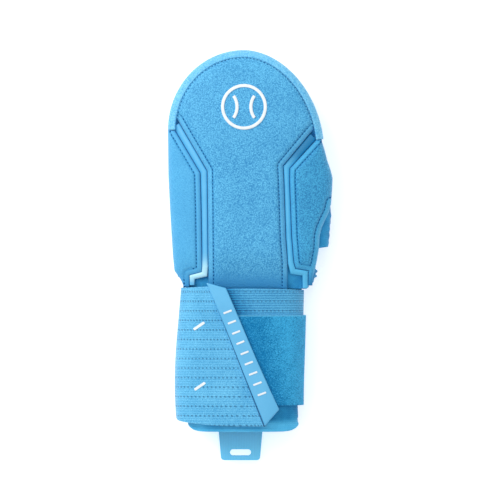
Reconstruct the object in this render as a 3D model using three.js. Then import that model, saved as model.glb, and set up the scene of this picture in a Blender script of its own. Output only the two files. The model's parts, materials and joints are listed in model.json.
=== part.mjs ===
// A sliding mitt: a padded hand guard that a base runner wears on one hand.
// Millimetres, +Z up. The mitt lies palm down on Z = 0. +Y points to the finger tip and +X to the
// thumb side. The origin is on the flat palm face, under the middle of the hand.

import * as THREE from 'three';
import { mergeVertices } from 'three/addons/utils/BufferGeometryUtils.js';

// Hand part
const handLength = 188; // wrist line to finger tip
const handHalfWidth = 66;
const handDepth = 43; // floor to the top of the soft body, at the middle of the hand
const wristY = -88; // the wrist line, from the origin
const tipY = wristY + handLength;
const crownDrop = 12; // how far the top of the body falls from its middle to its sides
const crownPower = 2.6;
const fitGap = 0.3; // between pieces that touch
const bagClear = 0.6; // between the soft body and the plates sewn to it
const bagWall = 1.8;
const bagOverhang = 4; // how far the plates stand out past the soft body
const bagRound = 6;
const foldDepth = 1.1;
const foldPitch = 4.4;
const foldLength = 18; // the gathered stretch at the wrist

// Padded plates
const plateThickness = 8.5;
const plateEndShare = 0.42; // what is left of a plate's thickness at the wrist
const plateTaperLength = 30;
const plateRound = 3;
const plateEndClear = 4; // the centre plate's end, past the wrist line
const rimWidth = 5.6;
const rimShare = 0.86; // the rim's height as a share of the plate's
const seamGap = 0.5;
const palmThickness = 10;
const palmRound = 4;
const palmEndY = wristY + 10;
const palmTipRise = 5;
const palmRiseLength = 45;
const palmInset = 2.5;

// Dome: two quarter ovals that share the tip
const domeTipX = -4.8;
const domeLeft = { out: 60.8, up: 64, power: 2 };
const domeRight = { out: 64, up: 80, power: 1.88 };
const rimLeftEndY = tipY - domeLeft.up;
const rimRightUp = 8.6; // how far above the dome's foot the rim ends on the thumb side
const rimRightEndY = tipY - domeRight.up + rimRightUp;

// Moulded strips in the channels
const trimHeight = 4.6;
const trimClear = 0.45;

// Cuff
const cuffLength = 117; // wrist line to the lower hem
const cuffX = -6;
const cuffHalfWidth = 45;
const cuffHalfDepth = 19.8;
const cuffPower = 2.5;
const neckZ = 22.8;
const neckHalfDepth = 15.2;
const neckHalfLeft = 43.8;
const neckHalfRight = 45.2;
const neckHold = 4.5; // the straight stretch at the wrist, under the plate's end
const neckLength = 17;
const sleeveWall = 3.2;
const sleeveStart = 1.3; // where the sleeve begins, past the wrist line
const hemRound = 1.2;
const hemRise = 4.5; // the hem's sides lie this much nearer to the hand
const hemY = wristY - cuffLength;

// Strap and what is on it
const strapThickness = 2.2;
const strapStartX = -46;
const strapLift = 0.45; // turn over which the strap climbs on to its own start, in radians
const strapTuck = 5; // how far the strap's end runs under the tab
const loopThickness = 1.6;
const loopTuck = 7;
const tabThickness = 2.6;

const strapStandAway = 2 * fitGap;
const strapOuterAway = strapStandAway + strapThickness + fitGap;
const loopAway = strapStandAway + strapThickness + 2 * fitGap;
const tabAway = strapOuterAway + strapThickness + fitGap;
const floorClear = 0.3; // between the fleece, the cuff's lowest layer, and the floor
const cuffZ = floorClear + loopThickness + loopAway + cuffHalfDepth;

// Pull loop at the hem
const pullWidth = 36.8;
const pullEndWidth = 31.6;
const pullReach = 23.8; // past the hem
const pullTuck = 16; // inside the cuff
const pullX = -7.6;
const pullThickness = 2;
const pullCorner = 2.6;
const slotLength = 16.8;
const slotWidth = 4.8;
const slotFromEnd = 6.4;

// Badge
const badgeX = -4.8;
const badgeY = 54;
const badgeRadius = 17;
const badgeLine = 2.6;
const badgeHeight = 1.2;
const seamRadius = 15;
const seamAway = 20.5; // from the badge's middle to each seam arc's own middle

// Where the soft body's top lies: shares of the hand's length and depth
const depthTable = [
  { at: -0.06, depth: 0.88 },
  { at: 0.0, depth: 0.9 },
  { at: 0.12, depth: 0.955 },
  { at: 0.3, depth: 0.99 },
  { at: 0.47, depth: 1.0 },
  { at: 0.65, depth: 0.985 },
  { at: 0.8, depth: 0.915 },
  { at: 0.9, depth: 0.81 },
  { at: 0.96, depth: 0.7 },
  { at: 1.0, depth: 0.6 },
];

// Outer edges of the side panels below the dome: shares of the hand's length and half width
const leftEdge = [
  { at: 0.0, out: 0.809 },
  { at: 0.021, out: 0.833 },
  { at: 0.061, out: 0.915 },
  { at: 0.12, out: 0.932 },
  { at: 0.23, out: 0.952 },
  { at: 0.36, out: 0.973 },
  { at: 0.47, out: 0.988 },
  { at: 0.66, out: 0.994 },
];
const rightEdge = [
  { at: 0.0, out: 0.755 },
  { at: 0.043, out: 0.77 },
  { at: 0.098, out: 0.806 },
  { at: 0.157, out: 0.836 },
  { at: 0.209, out: 0.842 },
  { at: 0.243, out: 0.867 },
  { at: 0.277, out: 0.909 },
  { at: 0.311, out: 0.958 },
  { at: 0.346, out: 0.982 },
  { at: 0.404, out: 0.994 },
  { at: 0.455, out: 1.0 },
  { at: 0.489, out: 0.976 },
  { at: 0.532, out: 0.933 },
  { at: 0.574, out: 0.903 },
  { at: 0.609, out: 0.87 },
];

// Sides of the soft body: the thumb's bulge ends in a fold, and the wrist is drawn in
const bagLeftSide = [
  { at: -0.006, out: 0.77 },
  { at: 0.02, out: 0.845 },
  { at: 0.045, out: 0.868 },
  { at: 0.075, out: 0.858 },
  { at: 0.12, out: 0.872 },
  { at: 0.36, out: 0.912 },
  { at: 0.47, out: 0.927 },
  { at: 0.66, out: 0.933 },
];
const bagRightSide = [
  { at: -0.006, out: 0.66 },
  { at: 0.012, out: 0.78 },
  { at: 0.04, out: 0.8 },
  { at: 0.075, out: 0.79 },
  { at: 0.155, out: 0.8 },
  { at: 0.1625, out: 0.948 },
  { at: 0.23, out: 0.964 },
  { at: 0.3, out: 0.982 },
  { at: 0.35, out: 0.965 },
  { at: 0.42, out: 0.945 },
  { at: 0.49, out: 0.91 },
  { at: 0.5745, out: 0.836 },
];

// Channels between the plate and the wings: middle line and width, then the foot and leg.
// A channel's first row lies by the end of the dome's rim.
const channelWidth = 5.2;
const leftChannelTop = { inFromDome: 5.7, aboveRimEnd: 5.5 };
const rightChannelTop = { inFromDome: 8.25, aboveRimEnd: 2.6 };
const leftChannel = [
  {
    x: (domeTipX - domeLeft.out + leftChannelTop.inFromDome) / handHalfWidth,
    at: (rimLeftEndY + leftChannelTop.aboveRimEnd - wristY) / handLength,
    width: 1.19,
  },
  { x: -0.559, at: 0.48, width: 1.13 },
  { x: -0.55, at: 0.309, width: 1.04 },
  { x: -0.545, at: 0.149, width: 1.0 },
  { x: -0.543, at: 0.08, width: 1.0 },
];
const leftFoot = [
  { x: -0.55, at: 0.046, width: 0.96 },
  { x: -0.7, at: 0.033, width: 0.88 },
  { x: -0.7, at: 0.0, width: 0.85 },
];
const rightChannel = [
  {
    x: (domeTipX + domeRight.out - rightChannelTop.inFromDome) / handHalfWidth,
    at: (rimRightEndY + rightChannelTop.aboveRimEnd - wristY) / handLength,
    width: 1.38,
  },
  { x: 0.44, at: 0.5, width: 1.08 },
  { x: 0.444, at: 0.44, width: 0.92 },
  { x: 0.468, at: 0.204, width: 0.96 },
  { x: 0.492, at: 0.095, width: 1.0 },
];
const rightFoot = [
  { x: 0.52, at: 0.058, width: 1.0 },
  { x: 0.668, at: 0.05, width: 0.96 },
  { x: 0.668, at: 0.0, width: 0.88 },
];

// Cuff, at shares of its length from the wrist line: how far it reaches to each side of its
// middle, and how far the strap stands off the sleeve on the little finger's side
const cuffTable = [
  { at: 0.0, left: 0.976, right: 1.036, standOff: 0.02 },
  { at: 0.2, left: 0.987, right: 1.022, standOff: 0.08 },
  { at: 0.45, left: 1.0, right: 1.004, standOff: 0.124 },
  { at: 0.65, left: 1.0, right: 0.987, standOff: 0.142 },
  { at: 0.85, left: 0.991, right: 0.982, standOff: 0.138 },
  { at: 1.0, left: 0.969, right: 1.0, standOff: 0.12 },
];

// Strap edges by turn, in radians: a half turn either side of 0, which is the thumb side
const strapEdges = [
  { turn: 2.6, top: 0.022, low: 0.82 },
  { turn: 1.5, top: 0.022, low: 0.82 },
  { turn: 0.0, top: 0.034, low: 0.82 },
  { turn: -1.6, top: 0.03, low: 0.86 },
  { turn: -3.14, top: 0.02, low: 0.91 },
  { turn: -3.9, top: 0.014, low: 0.94 },
  { turn: -4.6, top: 0.0, low: 0.96 },
  { turn: -6.0, top: -0.008, low: 0.962 },
];

// The tab's upper and lower end: shares of the cuff's half width from its middle, and of its length
const tabEnds = [
  { left: -0.6, leftAt: -0.017, right: -0.28, rightAt: 0.02 },
  { left: 0.382, leftAt: 0.956, right: 0.607, rightAt: 0.846 },
];

// The fleece's upper and lower edge, and the turn at which it ends under the wrist
const loopEdges = [
  { at: 0.205, endTurn: -2.0 },
  { at: 0.82, endTurn: -2.0 },
];

// Reading tables

function stretch(table, key, at) {
  let row = 1;
  while (row < table.length - 1 && at > table[row].at) row += 1;
  const before = table[row - 1];
  const after = table[row];
  const share = (at - before.at) / (after.at - before.at);
  return { row, share: THREE.MathUtils.clamp(share, 0, 1), from: before[key], to: after[key] };
}

function straightAt(table, key, at) {
  const found = stretch(table, key, at);
  return THREE.MathUtils.lerp(found.from, found.to, found.share);
}

function smoothAt(table, key, at) {
  const { row, share, from, to } = stretch(table, key, at);
  const before = table[Math.max(row - 2, 0)];
  const after = table[Math.min(row + 1, table.length - 1)];
  const span = table[row].at - table[row - 1].at;
  const slopeIn = ((to - before[key]) / (table[row].at - before.at)) * span;
  const slopeOut = ((after[key] - from) / (after.at - table[row - 1].at)) * span;
  const s2 = share * share;
  const s3 = s2 * share;
  return (2 * s3 - 3 * s2 + 1) * from + (s3 - 2 * s2 + share) * slopeIn
    + (3 * s2 - 2 * s3) * to + (s3 - s2) * slopeOut;
}

const handShare = (y) => (y - wristY) / handLength;
const handY = (share) => wristY + share * handLength;
const cuffShare = (y) => (wristY - y) / cuffLength;
const cuffYAt = (share) => wristY - share * cuffLength;

function smoothStep(from, to, value) {
  return THREE.MathUtils.smoothstep(value, from, to);
}

// Solids from grids and rings

function closedGeometry(points, triangles) {
  let geometry = new THREE.BufferGeometry();
  geometry.setAttribute('position', new THREE.Float32BufferAttribute(points.flatMap((p) => [p.x, p.y, p.z]), 3));
  geometry.setIndex(triangles.flat());
  geometry = mergeVertices(geometry, 1e-4);
  const index = geometry.getIndex().array;
  const place = geometry.getAttribute('position');
  const kept = [];
  let volume = 0;
  const [a, b, c] = [new THREE.Vector3(), new THREE.Vector3(), new THREE.Vector3()];
  for (let i = 0; i < index.length; i += 3) {
    const [p, q, r] = [index[i], index[i + 1], index[i + 2]];
    if (p === q || q === r || r === p) continue;
    kept.push([p, q, r]);
    volume += a.fromBufferAttribute(place, p).dot(b.fromBufferAttribute(place, q).cross(c.fromBufferAttribute(place, r)));
  }
  geometry.setIndex(volume < 0 ? kept.flatMap(([p, q, r]) => [p, r, q]) : kept.flat());
  geometry.computeVertexNormals();
  return geometry;
}

// Joins rings of equal length one after another. Caps close the ends, or the last joins the first.
function ringSolid(rings, { loop = false, capStart = null, capEnd = null } = {}) {
  const count = rings[0].length;
  const points = rings.flat();
  const triangles = [];
  const last = loop ? rings.length : rings.length - 1;
  for (let r = 0; r < last; r += 1) {
    const here = r * count;
    const next = ((r + 1) % rings.length) * count;
    for (let i = 0; i < count; i += 1) {
      const j = (i + 1) % count;
      triangles.push([here + i, here + j, next + j], [here + i, next + j, next + i]);
    }
  }
  const cap = (ring, flatten, offset, flip) => {
    for (const [p, q, s] of THREE.ShapeUtils.triangulateShape(ring.map(flatten), [])) {
      triangles.push(flip ? [offset + p, offset + s, offset + q] : [offset + p, offset + q, offset + s]);
    }
  };
  const turned = (ring, flatten) => THREE.ShapeUtils.area(ring.map(flatten)) < 0;
  if (capStart) cap(rings[0], capStart, 0, !turned(rings[0], capStart));
  if (capEnd) cap(rings.at(-1), capEnd, (rings.length - 1) * count, turned(rings.at(-1), capEnd));
  return closedGeometry(points, triangles);
}

// A sheet with two faces: under and over give a point for each step along and across.
function sheetSolid(along, across, under, over, { loop = false } = {}) {
  const rings = [];
  for (let i = 0; i <= (loop ? along - 1 : along); i += 1) {
    const ring = [];
    for (let j = 0; j <= across; j += 1) ring.push(under(i / along, j / across));
    for (let j = across; j >= 0; j -= 1) ring.push(over(i / along, j / across));
    rings.push(ring);
  }
  const points = rings.flat();
  const count = rings[0].length;
  const triangles = [];
  for (let i = 0; i < along; i += 1) {
    const here = i * count;
    const next = ((i + 1) % rings.length) * count;
    for (let k = 0; k < count; k += 1) {
      const m = (k + 1) % count;
      triangles.push([here + k, here + m, next + m], [here + k, next + m, next + k]);
    }
  }
  if (!loop) {
    for (const [start, flip] of [[0, false], [along * count, true]]) {
      for (let j = 0; j < across; j += 1) {
        const [p, q, r, s] = [start + j, start + j + 1, start + count - 2 - j, start + count - 1 - j];
        triangles.push(flip ? [p, q, r] : [p, r, q], flip ? [p, r, s] : [p, s, r]);
      }
    }
  }
  return closedGeometry(points, triangles);
}

// The top of the soft body, where the plates are sewn down

function bodyTop(x, y) {
  const depth = smoothAt(depthTable, 'depth', handShare(y)) * handDepth;
  return depth - crownDrop * Math.pow(Math.abs(x) / handHalfWidth, crownPower);
}

function plateHeight(y) {
  const full = smoothStep(wristY, wristY + plateTaperLength, y);
  return plateThickness * THREE.MathUtils.lerp(plateEndShare, 1, full);
}

// The dome's edge, drawn in by an inset

function domePoint(quarter, angle, inset) {
  const side = quarter === domeLeft ? -1 : 1;
  const power = 2 / quarter.power;
  return new THREE.Vector2(
    domeTipX + side * (quarter.out - inset) * Math.pow(Math.max(Math.cos(angle), 0), power),
    tipY - quarter.up + (quarter.up - inset) * Math.pow(Math.max(Math.sin(angle), 0), power),
  );
}

function domeX(quarter, y, inset) {
  const side = quarter === domeLeft ? -1 : 1;
  const rise = THREE.MathUtils.clamp((y - tipY + quarter.up) / (quarter.up - inset), 0, 1);
  const share = Math.pow(1 - Math.pow(rise, quarter.power), 1 / quarter.power);
  return domeTipX + side * (quarter.out - inset) * share;
}

function sideX(quarter, table, y, inset) {
  if (y > tipY - quarter.up) return domeX(quarter, y, inset);
  const side = quarter === domeLeft ? -1 : 1;
  return side * (straightAt(table, 'out', handShare(y)) * handHalfWidth - inset);
}

// Lines that follow a channel, moved to one side with sharp corners

function channelPoints(rows) {
  return rows.map((row) => ({
    place: new THREE.Vector2(row.x * handHalfWidth, handY(row.at)),
    width: row.width * channelWidth,
  }));
}

function besideChannel(rows, share, clear) {
  const points = channelPoints(rows);
  return points.map(({ place, width }, i) => {
    const before = points[Math.max(i - 1, 0)].place;
    const after = points[Math.min(i + 1, points.length - 1)].place;
    const into = place.clone().sub(before).normalize();
    const out = after.clone().sub(place).normalize();
    if (i === 0) into.copy(out);
    if (i === points.length - 1) out.copy(into);
    const turn = into.clone().add(out).normalize();
    const away = (share * width + Math.sign(share) * clear) / turn.dot(into);
    return new THREE.Vector2(place.x - turn.y * away, place.y + turn.x * away);
  });
}

function xOnLine(line, y) {
  const rows = line.map((p) => ({ at: -p.y, x: p.x }));
  return straightAt(rows, 'x', -y);
}

function stationsBetween(low, high, step, keys) {
  const found = [low, high, ...keys.filter((y) => y > low && y < high)];
  for (let y = low + step; y < high; y += step) {
    if (keys.every((key) => Math.abs(key - y) > step / 3)) found.push(y);
  }
  return found.filter((y) => y === low || y === high || (y - low > 0.2 && high - y > 0.2))
    .sort((a, b) => a - b);
}

// A plate on the body: rows along Y between two side lines, with a rounded upper edge.
function plateSolid({ rows, left, right, middle, base, height, round }) {
  const first = rows[0];
  const last = rows.at(-1);
  const rim = [0, 0.12, 0.4, 1].map((share) => share * round);
  const steep = (line, y) => {
    const reach = 0.4;
    const up = Math.min(y + reach, last);
    const down = Math.max(y - reach, first);
    return 1 / Math.hypot(1, (line(up) - line(down)) / (up - down));
  };
  const grid = rows.map((y) => {
    const [from, to] = [left(y), right(y)];
    const [leanLeft, leanRight] = [steep(left, y), steep(right, y)];
    const half = (to - from) / 2 - 0.05;
    const xs = [];
    for (const d of rim) xs.push(from + Math.min(d / leanLeft, half * (0.2 + 0.6 * (d / round))) * (d > 0 ? 1 : 0));
    const inner = [xs.at(-1)];
    const outer = [];
    for (const d of rim) outer.unshift(to - Math.min(d / leanRight, half * (0.2 + 0.6 * (d / round))) * (d > 0 ? 1 : 0));
    for (let m = 1; m <= middle; m += 1) inner.push(THREE.MathUtils.lerp(inner[0], outer[0], m / (middle + 1)));
    return [...xs, ...inner.slice(1), ...outer].map((x) => {
      const edge = Math.min((x - from) * leanLeft, (to - x) * leanRight, y - first, last - y);
      const drop = round * (1 - Math.sqrt(1 - Math.pow(1 - Math.min(Math.max(edge, 0) / round, 1), 2)));
      const bottom = base(x, y);
      const top = Math.max(bottom + height(x, y) - drop, bottom + 0.3);
      return { under: new THREE.Vector3(x, y, bottom), over: new THREE.Vector3(x, y, top) };
    });
  });
  const across = grid[0].length - 1;
  const along = grid.length - 1;
  const pick = (name) => (i, j) => grid[Math.round(i * along)][Math.round(j * across)][name];
  return sheetSolid(along, across, pick('under'), pick('over'));
}

// Extra rows near a rounded end
const endRows = (end, inward, round) => [0.12, 0.4, 1].map((share) => end + inward * share * round);

// The soft body: sections from the finger tip to the wrist, then back up the inside

const bagTopSteps = 8;
const bagSideSteps = 4;
const bagTipClear = 0.6;
const bagTipStretch = 45; // the rounded tip, where the sections lie closer

function bagSection(y, wall) {
  const inset = wall;
  const insideTip = Math.min(y, tipY - bagOverhang - wall - bagTipClear);
  const left = insideTip > tipY - domeLeft.up
    ? domeX(domeLeft, insideTip, bagOverhang + inset)
    : -(straightAt(bagLeftSide, 'out', handShare(y)) * handHalfWidth - inset);
  const right = insideTip > tipY - domeRight.up
    ? domeX(domeRight, insideTip, bagOverhang + inset)
    : straightAt(bagRightSide, 'out', handShare(y)) * handHalfWidth - inset;
  const flare = 1 - smoothStep(wristY, palmEndY - 1, y);
  const bottom = THREE.MathUtils.lerp(palmThickness + bagClear, neckZ - neckHalfDepth, flare) + wall;
  const pull = 1 - smoothStep(wristY + foldLength * 0.6, wristY + foldLength, y);
  const fold = foldDepth * pull * Math.cos((2 * Math.PI * (y - wristY)) / foldPitch);
  const round = Math.min(bagRound, (right - left) / 4);
  const drawIn = 1 - smoothStep(wristY, wristY + foldLength * 0.45, y);
  const neck = { left: neckHalfLeft - inset, right: neckHalfRight - inset, depth: neckHalfDepth - inset, z: neckZ };
  const ring = [];
  const topAt = (x) => {
    const edge = Math.min(x - left, right - x, round);
    return bodyTop(x, y) - bagClear - wall - round * (1 - Math.sqrt(1 - Math.pow(1 - edge / round, 2)));
  };
  const topXs = [];
  const corner = [0, 0.12, 0.4, 1].map((share) => share * round);
  for (const c of corner) topXs.push(left + c);
  for (let i = 1; i < bagTopSteps; i += 1) {
    topXs.push(THREE.MathUtils.lerp(left + round, right - round, i / bagTopSteps));
  }
  for (const c of corner.toReversed()) topXs.push(right - c);
  for (const x of topXs) ring.push(new THREE.Vector3(x, y, topAt(x)));
  const side = (x, sign, down) => {
    const high = topAt(x);
    const low = bottom + round / 2;
    for (let i = 1; i < bagSideSteps; i += 1) {
      const share = down ? i / bagSideSteps : 1 - i / bagSideSteps;
      const swell = Math.sin(Math.PI * share);
      ring.push(new THREE.Vector3(x + sign * swell * fold, y, THREE.MathUtils.lerp(high, low, share)));
    }
  };
  side(right, 1, true);
  for (const c of [0, 0.4, 1]) {
    const drop = (round / 2) * (1 - Math.sqrt(1 - Math.pow(1 - c, 2)));
    ring.push(new THREE.Vector3(right - (c * round) / 2, y, bottom + drop));
  }
  for (const c of [1, 0.4, 0]) {
    const drop = (round / 2) * (1 - Math.sqrt(1 - Math.pow(1 - c, 2)));
    ring.push(new THREE.Vector3(left + (c * round) / 2, y, bottom + drop));
  }
  side(left, -1, false);
  if (drawIn > 0) for (const p of ring) p.lerp(ontoOval(neck, p), drawIn);
  return ring;
}

function mittBag() {
  const endY = wristY - 0.9;
  const outerTip = tipY - bagOverhang - bagTipClear;
  const tipRows = (tip) => [0, 0.7, 2, 4.5, 8.5, 14, 22, 31].map((back) => tip - back);
  const bodyRows = stationsBetween(wristY + foldLength, tipY - bagTipStretch, 17, [
    ...bagRightSide.map((row) => handY(row.at)), palmEndY - 1, palmEndY]);
  const foldRows = [];
  for (let y = wristY + foldLength - foldPitch / 2; y > endY + 1; y -= foldPitch / 2) foldRows.push(y);
  const outside = [...tipRows(outerTip), ...bodyRows.toReversed(), ...foldRows, endY];
  const inside = [endY, ...stationsBetween(wristY, tipY - bagTipStretch, 24, bagRightSide.filter((row, i) => i !== 3).map((row) => handY(row.at))),
    ...tipRows(outerTip - bagWall).toReversed()];
  const rings = [
    ...outside.map((y) => bagSection(y, 0)),
    ...inside.map((y) => bagSection(y, bagWall)),
  ];
  const flatten = (p) => new THREE.Vector2(p.x, p.z);
  return ringSolid(rings, { capStart: flatten, capEnd: flatten });
}

// Plates on the back of the hand

const leftPlateLine = besideChannel(leftChannel, 0.5, 0);
const rightPlateLine = besideChannel(rightChannel, -0.5, 0);
const leftWingLine = besideChannel([...leftChannel, ...leftFoot], -0.5, 0);
const rightWingLine = besideChannel([...rightChannel, ...rightFoot], 0.5, 0);

function centrePlate() {
  const inset = rimWidth + seamGap;
  const low = wristY - plateEndClear;
  const high = tipY - inset - 0.4;
  const left = (y) => {
    const onDome = y > tipY - domeLeft.up ? domeX(domeLeft, y, inset) : -Infinity;
    return Math.max(onDome, xOnLine(leftPlateLine, y));
  };
  const right = (y) => {
    const onDome = y > tipY - domeRight.up ? domeX(domeRight, y, inset) : Infinity;
    return Math.min(onDome, xOnLine(rightPlateLine, y));
  };
  const corner = (line, quarter) => {
    const [top, bend] = line;
    let [near, far] = [0, 1];
    for (let i = 0; i < 30; i += 1) {
      const mid = (near + far) / 2;
      const p = bend.clone().lerp(top, mid * 1.4);
      const inside = Math.abs(p.x - domeTipX) < Math.abs(domeX(quarter, p.y, inset) - domeTipX);
      if (inside) near = mid;
      else far = mid;
    }
    return bend.clone().lerp(top, near * 1.4).y;
  };
  const corners = [corner(leftPlateLine, domeLeft), corner(rightPlateLine, domeRight)];
  const arc = [0.7, 2, 4.5, 8.5, 14, 21, 29, 38].map((back) => high - back);
  const bends = [leftPlateLine[1].y, rightPlateLine[1].y];
  const rows = stationsBetween(low, high, 14, [...corners, ...bends, ...arc, ...endRows(low, 1, plateRound)]);
  return plateSolid({
    rows, left, right, middle: 9, base: bodyTop, height: (x, y) => plateHeight(y), round: plateRound,
  });
}

function wing(outer, inner, low, high, mirrored) {
  const line = (y) => xOnLine(inner, y);
  const keys = [...inner.map((p) => p.y), ...endRows(low, 1, plateRound), ...endRows(high, -1, plateRound)];
  const rows = stationsBetween(low, high, 12, keys);
  return plateSolid({
    rows,
    left: mirrored ? line : outer,
    right: mirrored ? outer : line,
    middle: 2,
    base: bodyTop,
    height: (x, y) => plateHeight(y),
    round: plateRound,
  });
}

function littleFingerWing() {
  const outer = (y) => -straightAt(leftEdge, 'out', handShare(y)) * handHalfWidth;
  return wing(outer, leftWingLine, wristY, rimLeftEndY - 2.2, false);
}

function thumbWing() {
  const outer = (y) => straightAt(rightEdge, 'out', handShare(y)) * handHalfWidth;
  return wing(outer, rightWingLine, wristY, rimRightEndY - 2.2, true);
}

function domeRim() {
  const rightEnd = Math.asin(Math.pow((rimRightEndY - tipY + domeRight.up) / domeRight.up, domeRight.power / 2));
  const onArc = (share, inset) => (share < 0.5
    ? domePoint(domeLeft, share * Math.PI, inset)
    : domePoint(domeRight, THREE.MathUtils.lerp(Math.PI / 2, rightEnd, share * 2 - 1), inset));
  const profile = [
    { across: 0, high: 0.4 },
    { across: 0.12, high: 0.78 },
    { across: 0.45, high: 1 },
    { across: 0.85, high: 0.94 },
    { across: 1, high: 0.7 },
  ];
  const pick = (share, j, raised) => {
    const { across, high } = profile[Math.round(j * (profile.length - 1))];
    const p = onArc(share, 0).lerp(onArc(share, rimWidth), across);
    const z = bodyTop(p.x, p.y) + (raised ? high * rimShare * plateHeight(p.y) : 0);
    return new THREE.Vector3(p.x, p.y, z);
  };
  return sheetSolid(36, profile.length - 1, (i, j) => pick(i, j, false), (i, j) => pick(i, j, true));
}

function channelTrim(rows, share, start) {
  const step = 9;
  const clearLine = (side) => besideChannel(rows, side * share, -trimClear);
  const [one, other] = [clearLine(1), clearLine(-1)];
  const places = [];
  for (let i = 0; i < rows.length - 1; i += 1) {
    const count = Math.max(1, Math.round(one[i].distanceTo(one[i + 1]) / step));
    for (let k = 0; k < count; k += 1) {
      if (i > 0 || k / count >= start) places.push([i, k / count]);
    }
  }
  places.unshift([0, start]);
  places.push([rows.length - 2, 1]);
  const unique = places.filter((p, i) => i === 0 || p[0] !== places[i - 1][0] || p[1] !== places[i - 1][1]);
  const pick = (s, j, raised) => {
    const [i, k] = unique[Math.round(s * (unique.length - 1))];
    const from = one[i].clone().lerp(one[i + 1], k);
    const to = other[i].clone().lerp(other[i + 1], k);
    const p = from.lerp(to, j);
    const high = Math.min(trimHeight, plateHeight(p.y) * 0.8);
    const round = j > 0 && j < 1 ? 1 : 0.72;
    return new THREE.Vector3(p.x, p.y, bodyTop(p.x, p.y) + (raised ? high * round : 0));
  };
  const across = 4;
  return sheetSolid(unique.length - 1, across, (i, j) => pick(i, j, false), (i, j) => pick(i, j, true));
}

// Palm side

function palmPlate() {
  const low = palmEndY;
  const high = tipY - palmInset - 0.5;
  const left = (y) => sideX(domeLeft, leftEdge, Math.min(y, high), palmInset);
  const right = (y) => sideX(domeRight, rightEdge, Math.min(y, high), palmInset);
  const arc = [0.7, 2, 4.5, 8.5, 14, 21, 30].map((back) => high - back);
  const rows = stationsBetween(low, high, 16, [...arc, ...endRows(low, 1, palmRound)]);
  const rise = (y) => palmTipRise * Math.pow(smoothStep(high - palmRiseLength, high, y), 2);
  const upsideDown = plateSolid({
    rows,
    left,
    right,
    middle: 4,
    base: () => 0,
    height: (x, y) => palmThickness - rise(y),
    round: palmRound,
  });
  const place = upsideDown.getAttribute('position');
  for (let i = 0; i < place.count; i += 1) place.setZ(i, palmThickness - place.getZ(i));
  const index = upsideDown.getIndex().array;
  for (let i = 0; i < index.length; i += 3) [index[i], index[i + 1]] = [index[i + 1], index[i]];
  upsideDown.computeVertexNormals();
  return upsideDown;
}

// Cuff sections: a flattened round whose two halves have their own widths

function cuffSize(y, standOff) {
  const share = cuffShare(y);
  return {
    left: cuffHalfWidth * (smoothAt(cuffTable, 'left', share) + (standOff ? smoothAt(cuffTable, 'standOff', share) : 0)),
    right: cuffHalfWidth * smoothAt(cuffTable, 'right', share),
    depth: cuffHalfDepth,
    z: cuffZ,
  };
}

function ovalPoint(size, turn, y, away) {
  const power = 2 / cuffPower;
  const at = (t) => {
    const [c, s] = [Math.cos(t), Math.sin(t)];
    const wide = c > 0 ? size.right : size.left;
    return new THREE.Vector2(
      cuffX + Math.sign(c) * wide * Math.pow(Math.abs(c), power),
      size.z + Math.sign(s) * size.depth * Math.pow(Math.abs(s), power),
    );
  };
  const small = 0.01;
  const here = at(turn);
  const slope = at(turn + small).sub(at(turn - small)).normalize();
  return new THREE.Vector3(here.x + slope.y * away, y, here.y - slope.x * away);
}

// The point of an oval in the direction of a point near it
function ontoOval(size, p) {
  const x = (p.x - cuffX) / (p.x > cuffX ? size.right : size.left);
  const z = (p.z - size.z) / size.depth;
  const reach = Math.pow(Math.pow(Math.abs(x), cuffPower) + Math.pow(Math.abs(z), cuffPower), 1 / cuffPower);
  return new THREE.Vector3(cuffX + (p.x - cuffX) / reach, p.y, size.z + (p.z - size.z) / reach);
}

// The turn at which the cuff's upper side lies at a distance x from its middle
function turnAt(x, y, standOff) {
  const size = cuffSize(y, standOff);
  const wide = x > 0 ? size.right : size.left;
  const share = Math.min(Math.abs(x) / wide, 1);
  return Math.acos(Math.sign(x) * Math.pow(share, cuffPower / 2));
}

function wristSleeve() {
  const around = 36;
  const neckStart = wristY - sleeveStart + 0.1;
  const neck = { left: neckHalfLeft, right: neckHalfRight, depth: neckHalfDepth, z: neckZ };
  const sizeAt = (y) => {
    const full = cuffSize(y, false);
    const share = smoothStep(neckHold, neckLength, neckStart - y);
    const mix = (name) => THREE.MathUtils.lerp(neck[name], full[name], share);
    return { left: mix('left'), right: mix('right'), depth: mix('depth'), z: mix('z') };
  };
  const ring = (y, away) => {
    const size = sizeAt(y);
    const points = [];
    for (let i = 0; i < around; i += 1) {
      const turn = (2 * Math.PI * i) / around;
      const p = ovalPoint(size, turn, y, away);
      const low = 1 - smoothStep(hemY, neckStart - neckLength, y);
      p.y += hemRise * Math.pow(Math.abs(Math.cos(turn)), 4) * low;
      points.push(p);
    }
    return points;
  };
  const rise = (neckLength - neckHold) / 4;
  const neckRows = [0, 1, 2, 3, 4].map((i) => neckStart - neckHold - i * rise);
  const tubeRows = [0.385, 0.64].map(cuffYAt);
  const lipY = hemY + hemRound;
  const outside = [neckStart, ...neckRows, ...tubeRows, cuffYAt(0.88), lipY];
  const inside = [lipY, ...tubeRows.toReversed(), neckRows[4], neckRows[2], neckRows[0], neckStart];
  const rings = [
    ...outside.map((y) => ring(y, 0)),
    ring(hemY, -sleeveWall * 0.28),
    ring(hemY, -sleeveWall * 0.72),
    ...inside.map((y) => ring(y, -sleeveWall)),
  ];
  return ringSolid(rings, { loop: true });
}

// The strap winds from its start on top, round the thumb side and the palm, and over its start

function tabLeftX(share) {
  const [top, low] = tabEnds;
  return cuffHalfWidth * THREE.MathUtils.mapLinear(share, top.leftAt, low.leftAt, top.left, low.left);
}

function strapEdge(turn, name) {
  const rows = strapEdges.map((row) => ({ at: -row.turn, [name]: row[name] }));
  return smoothAt(rows, name, -turn);
}

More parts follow.
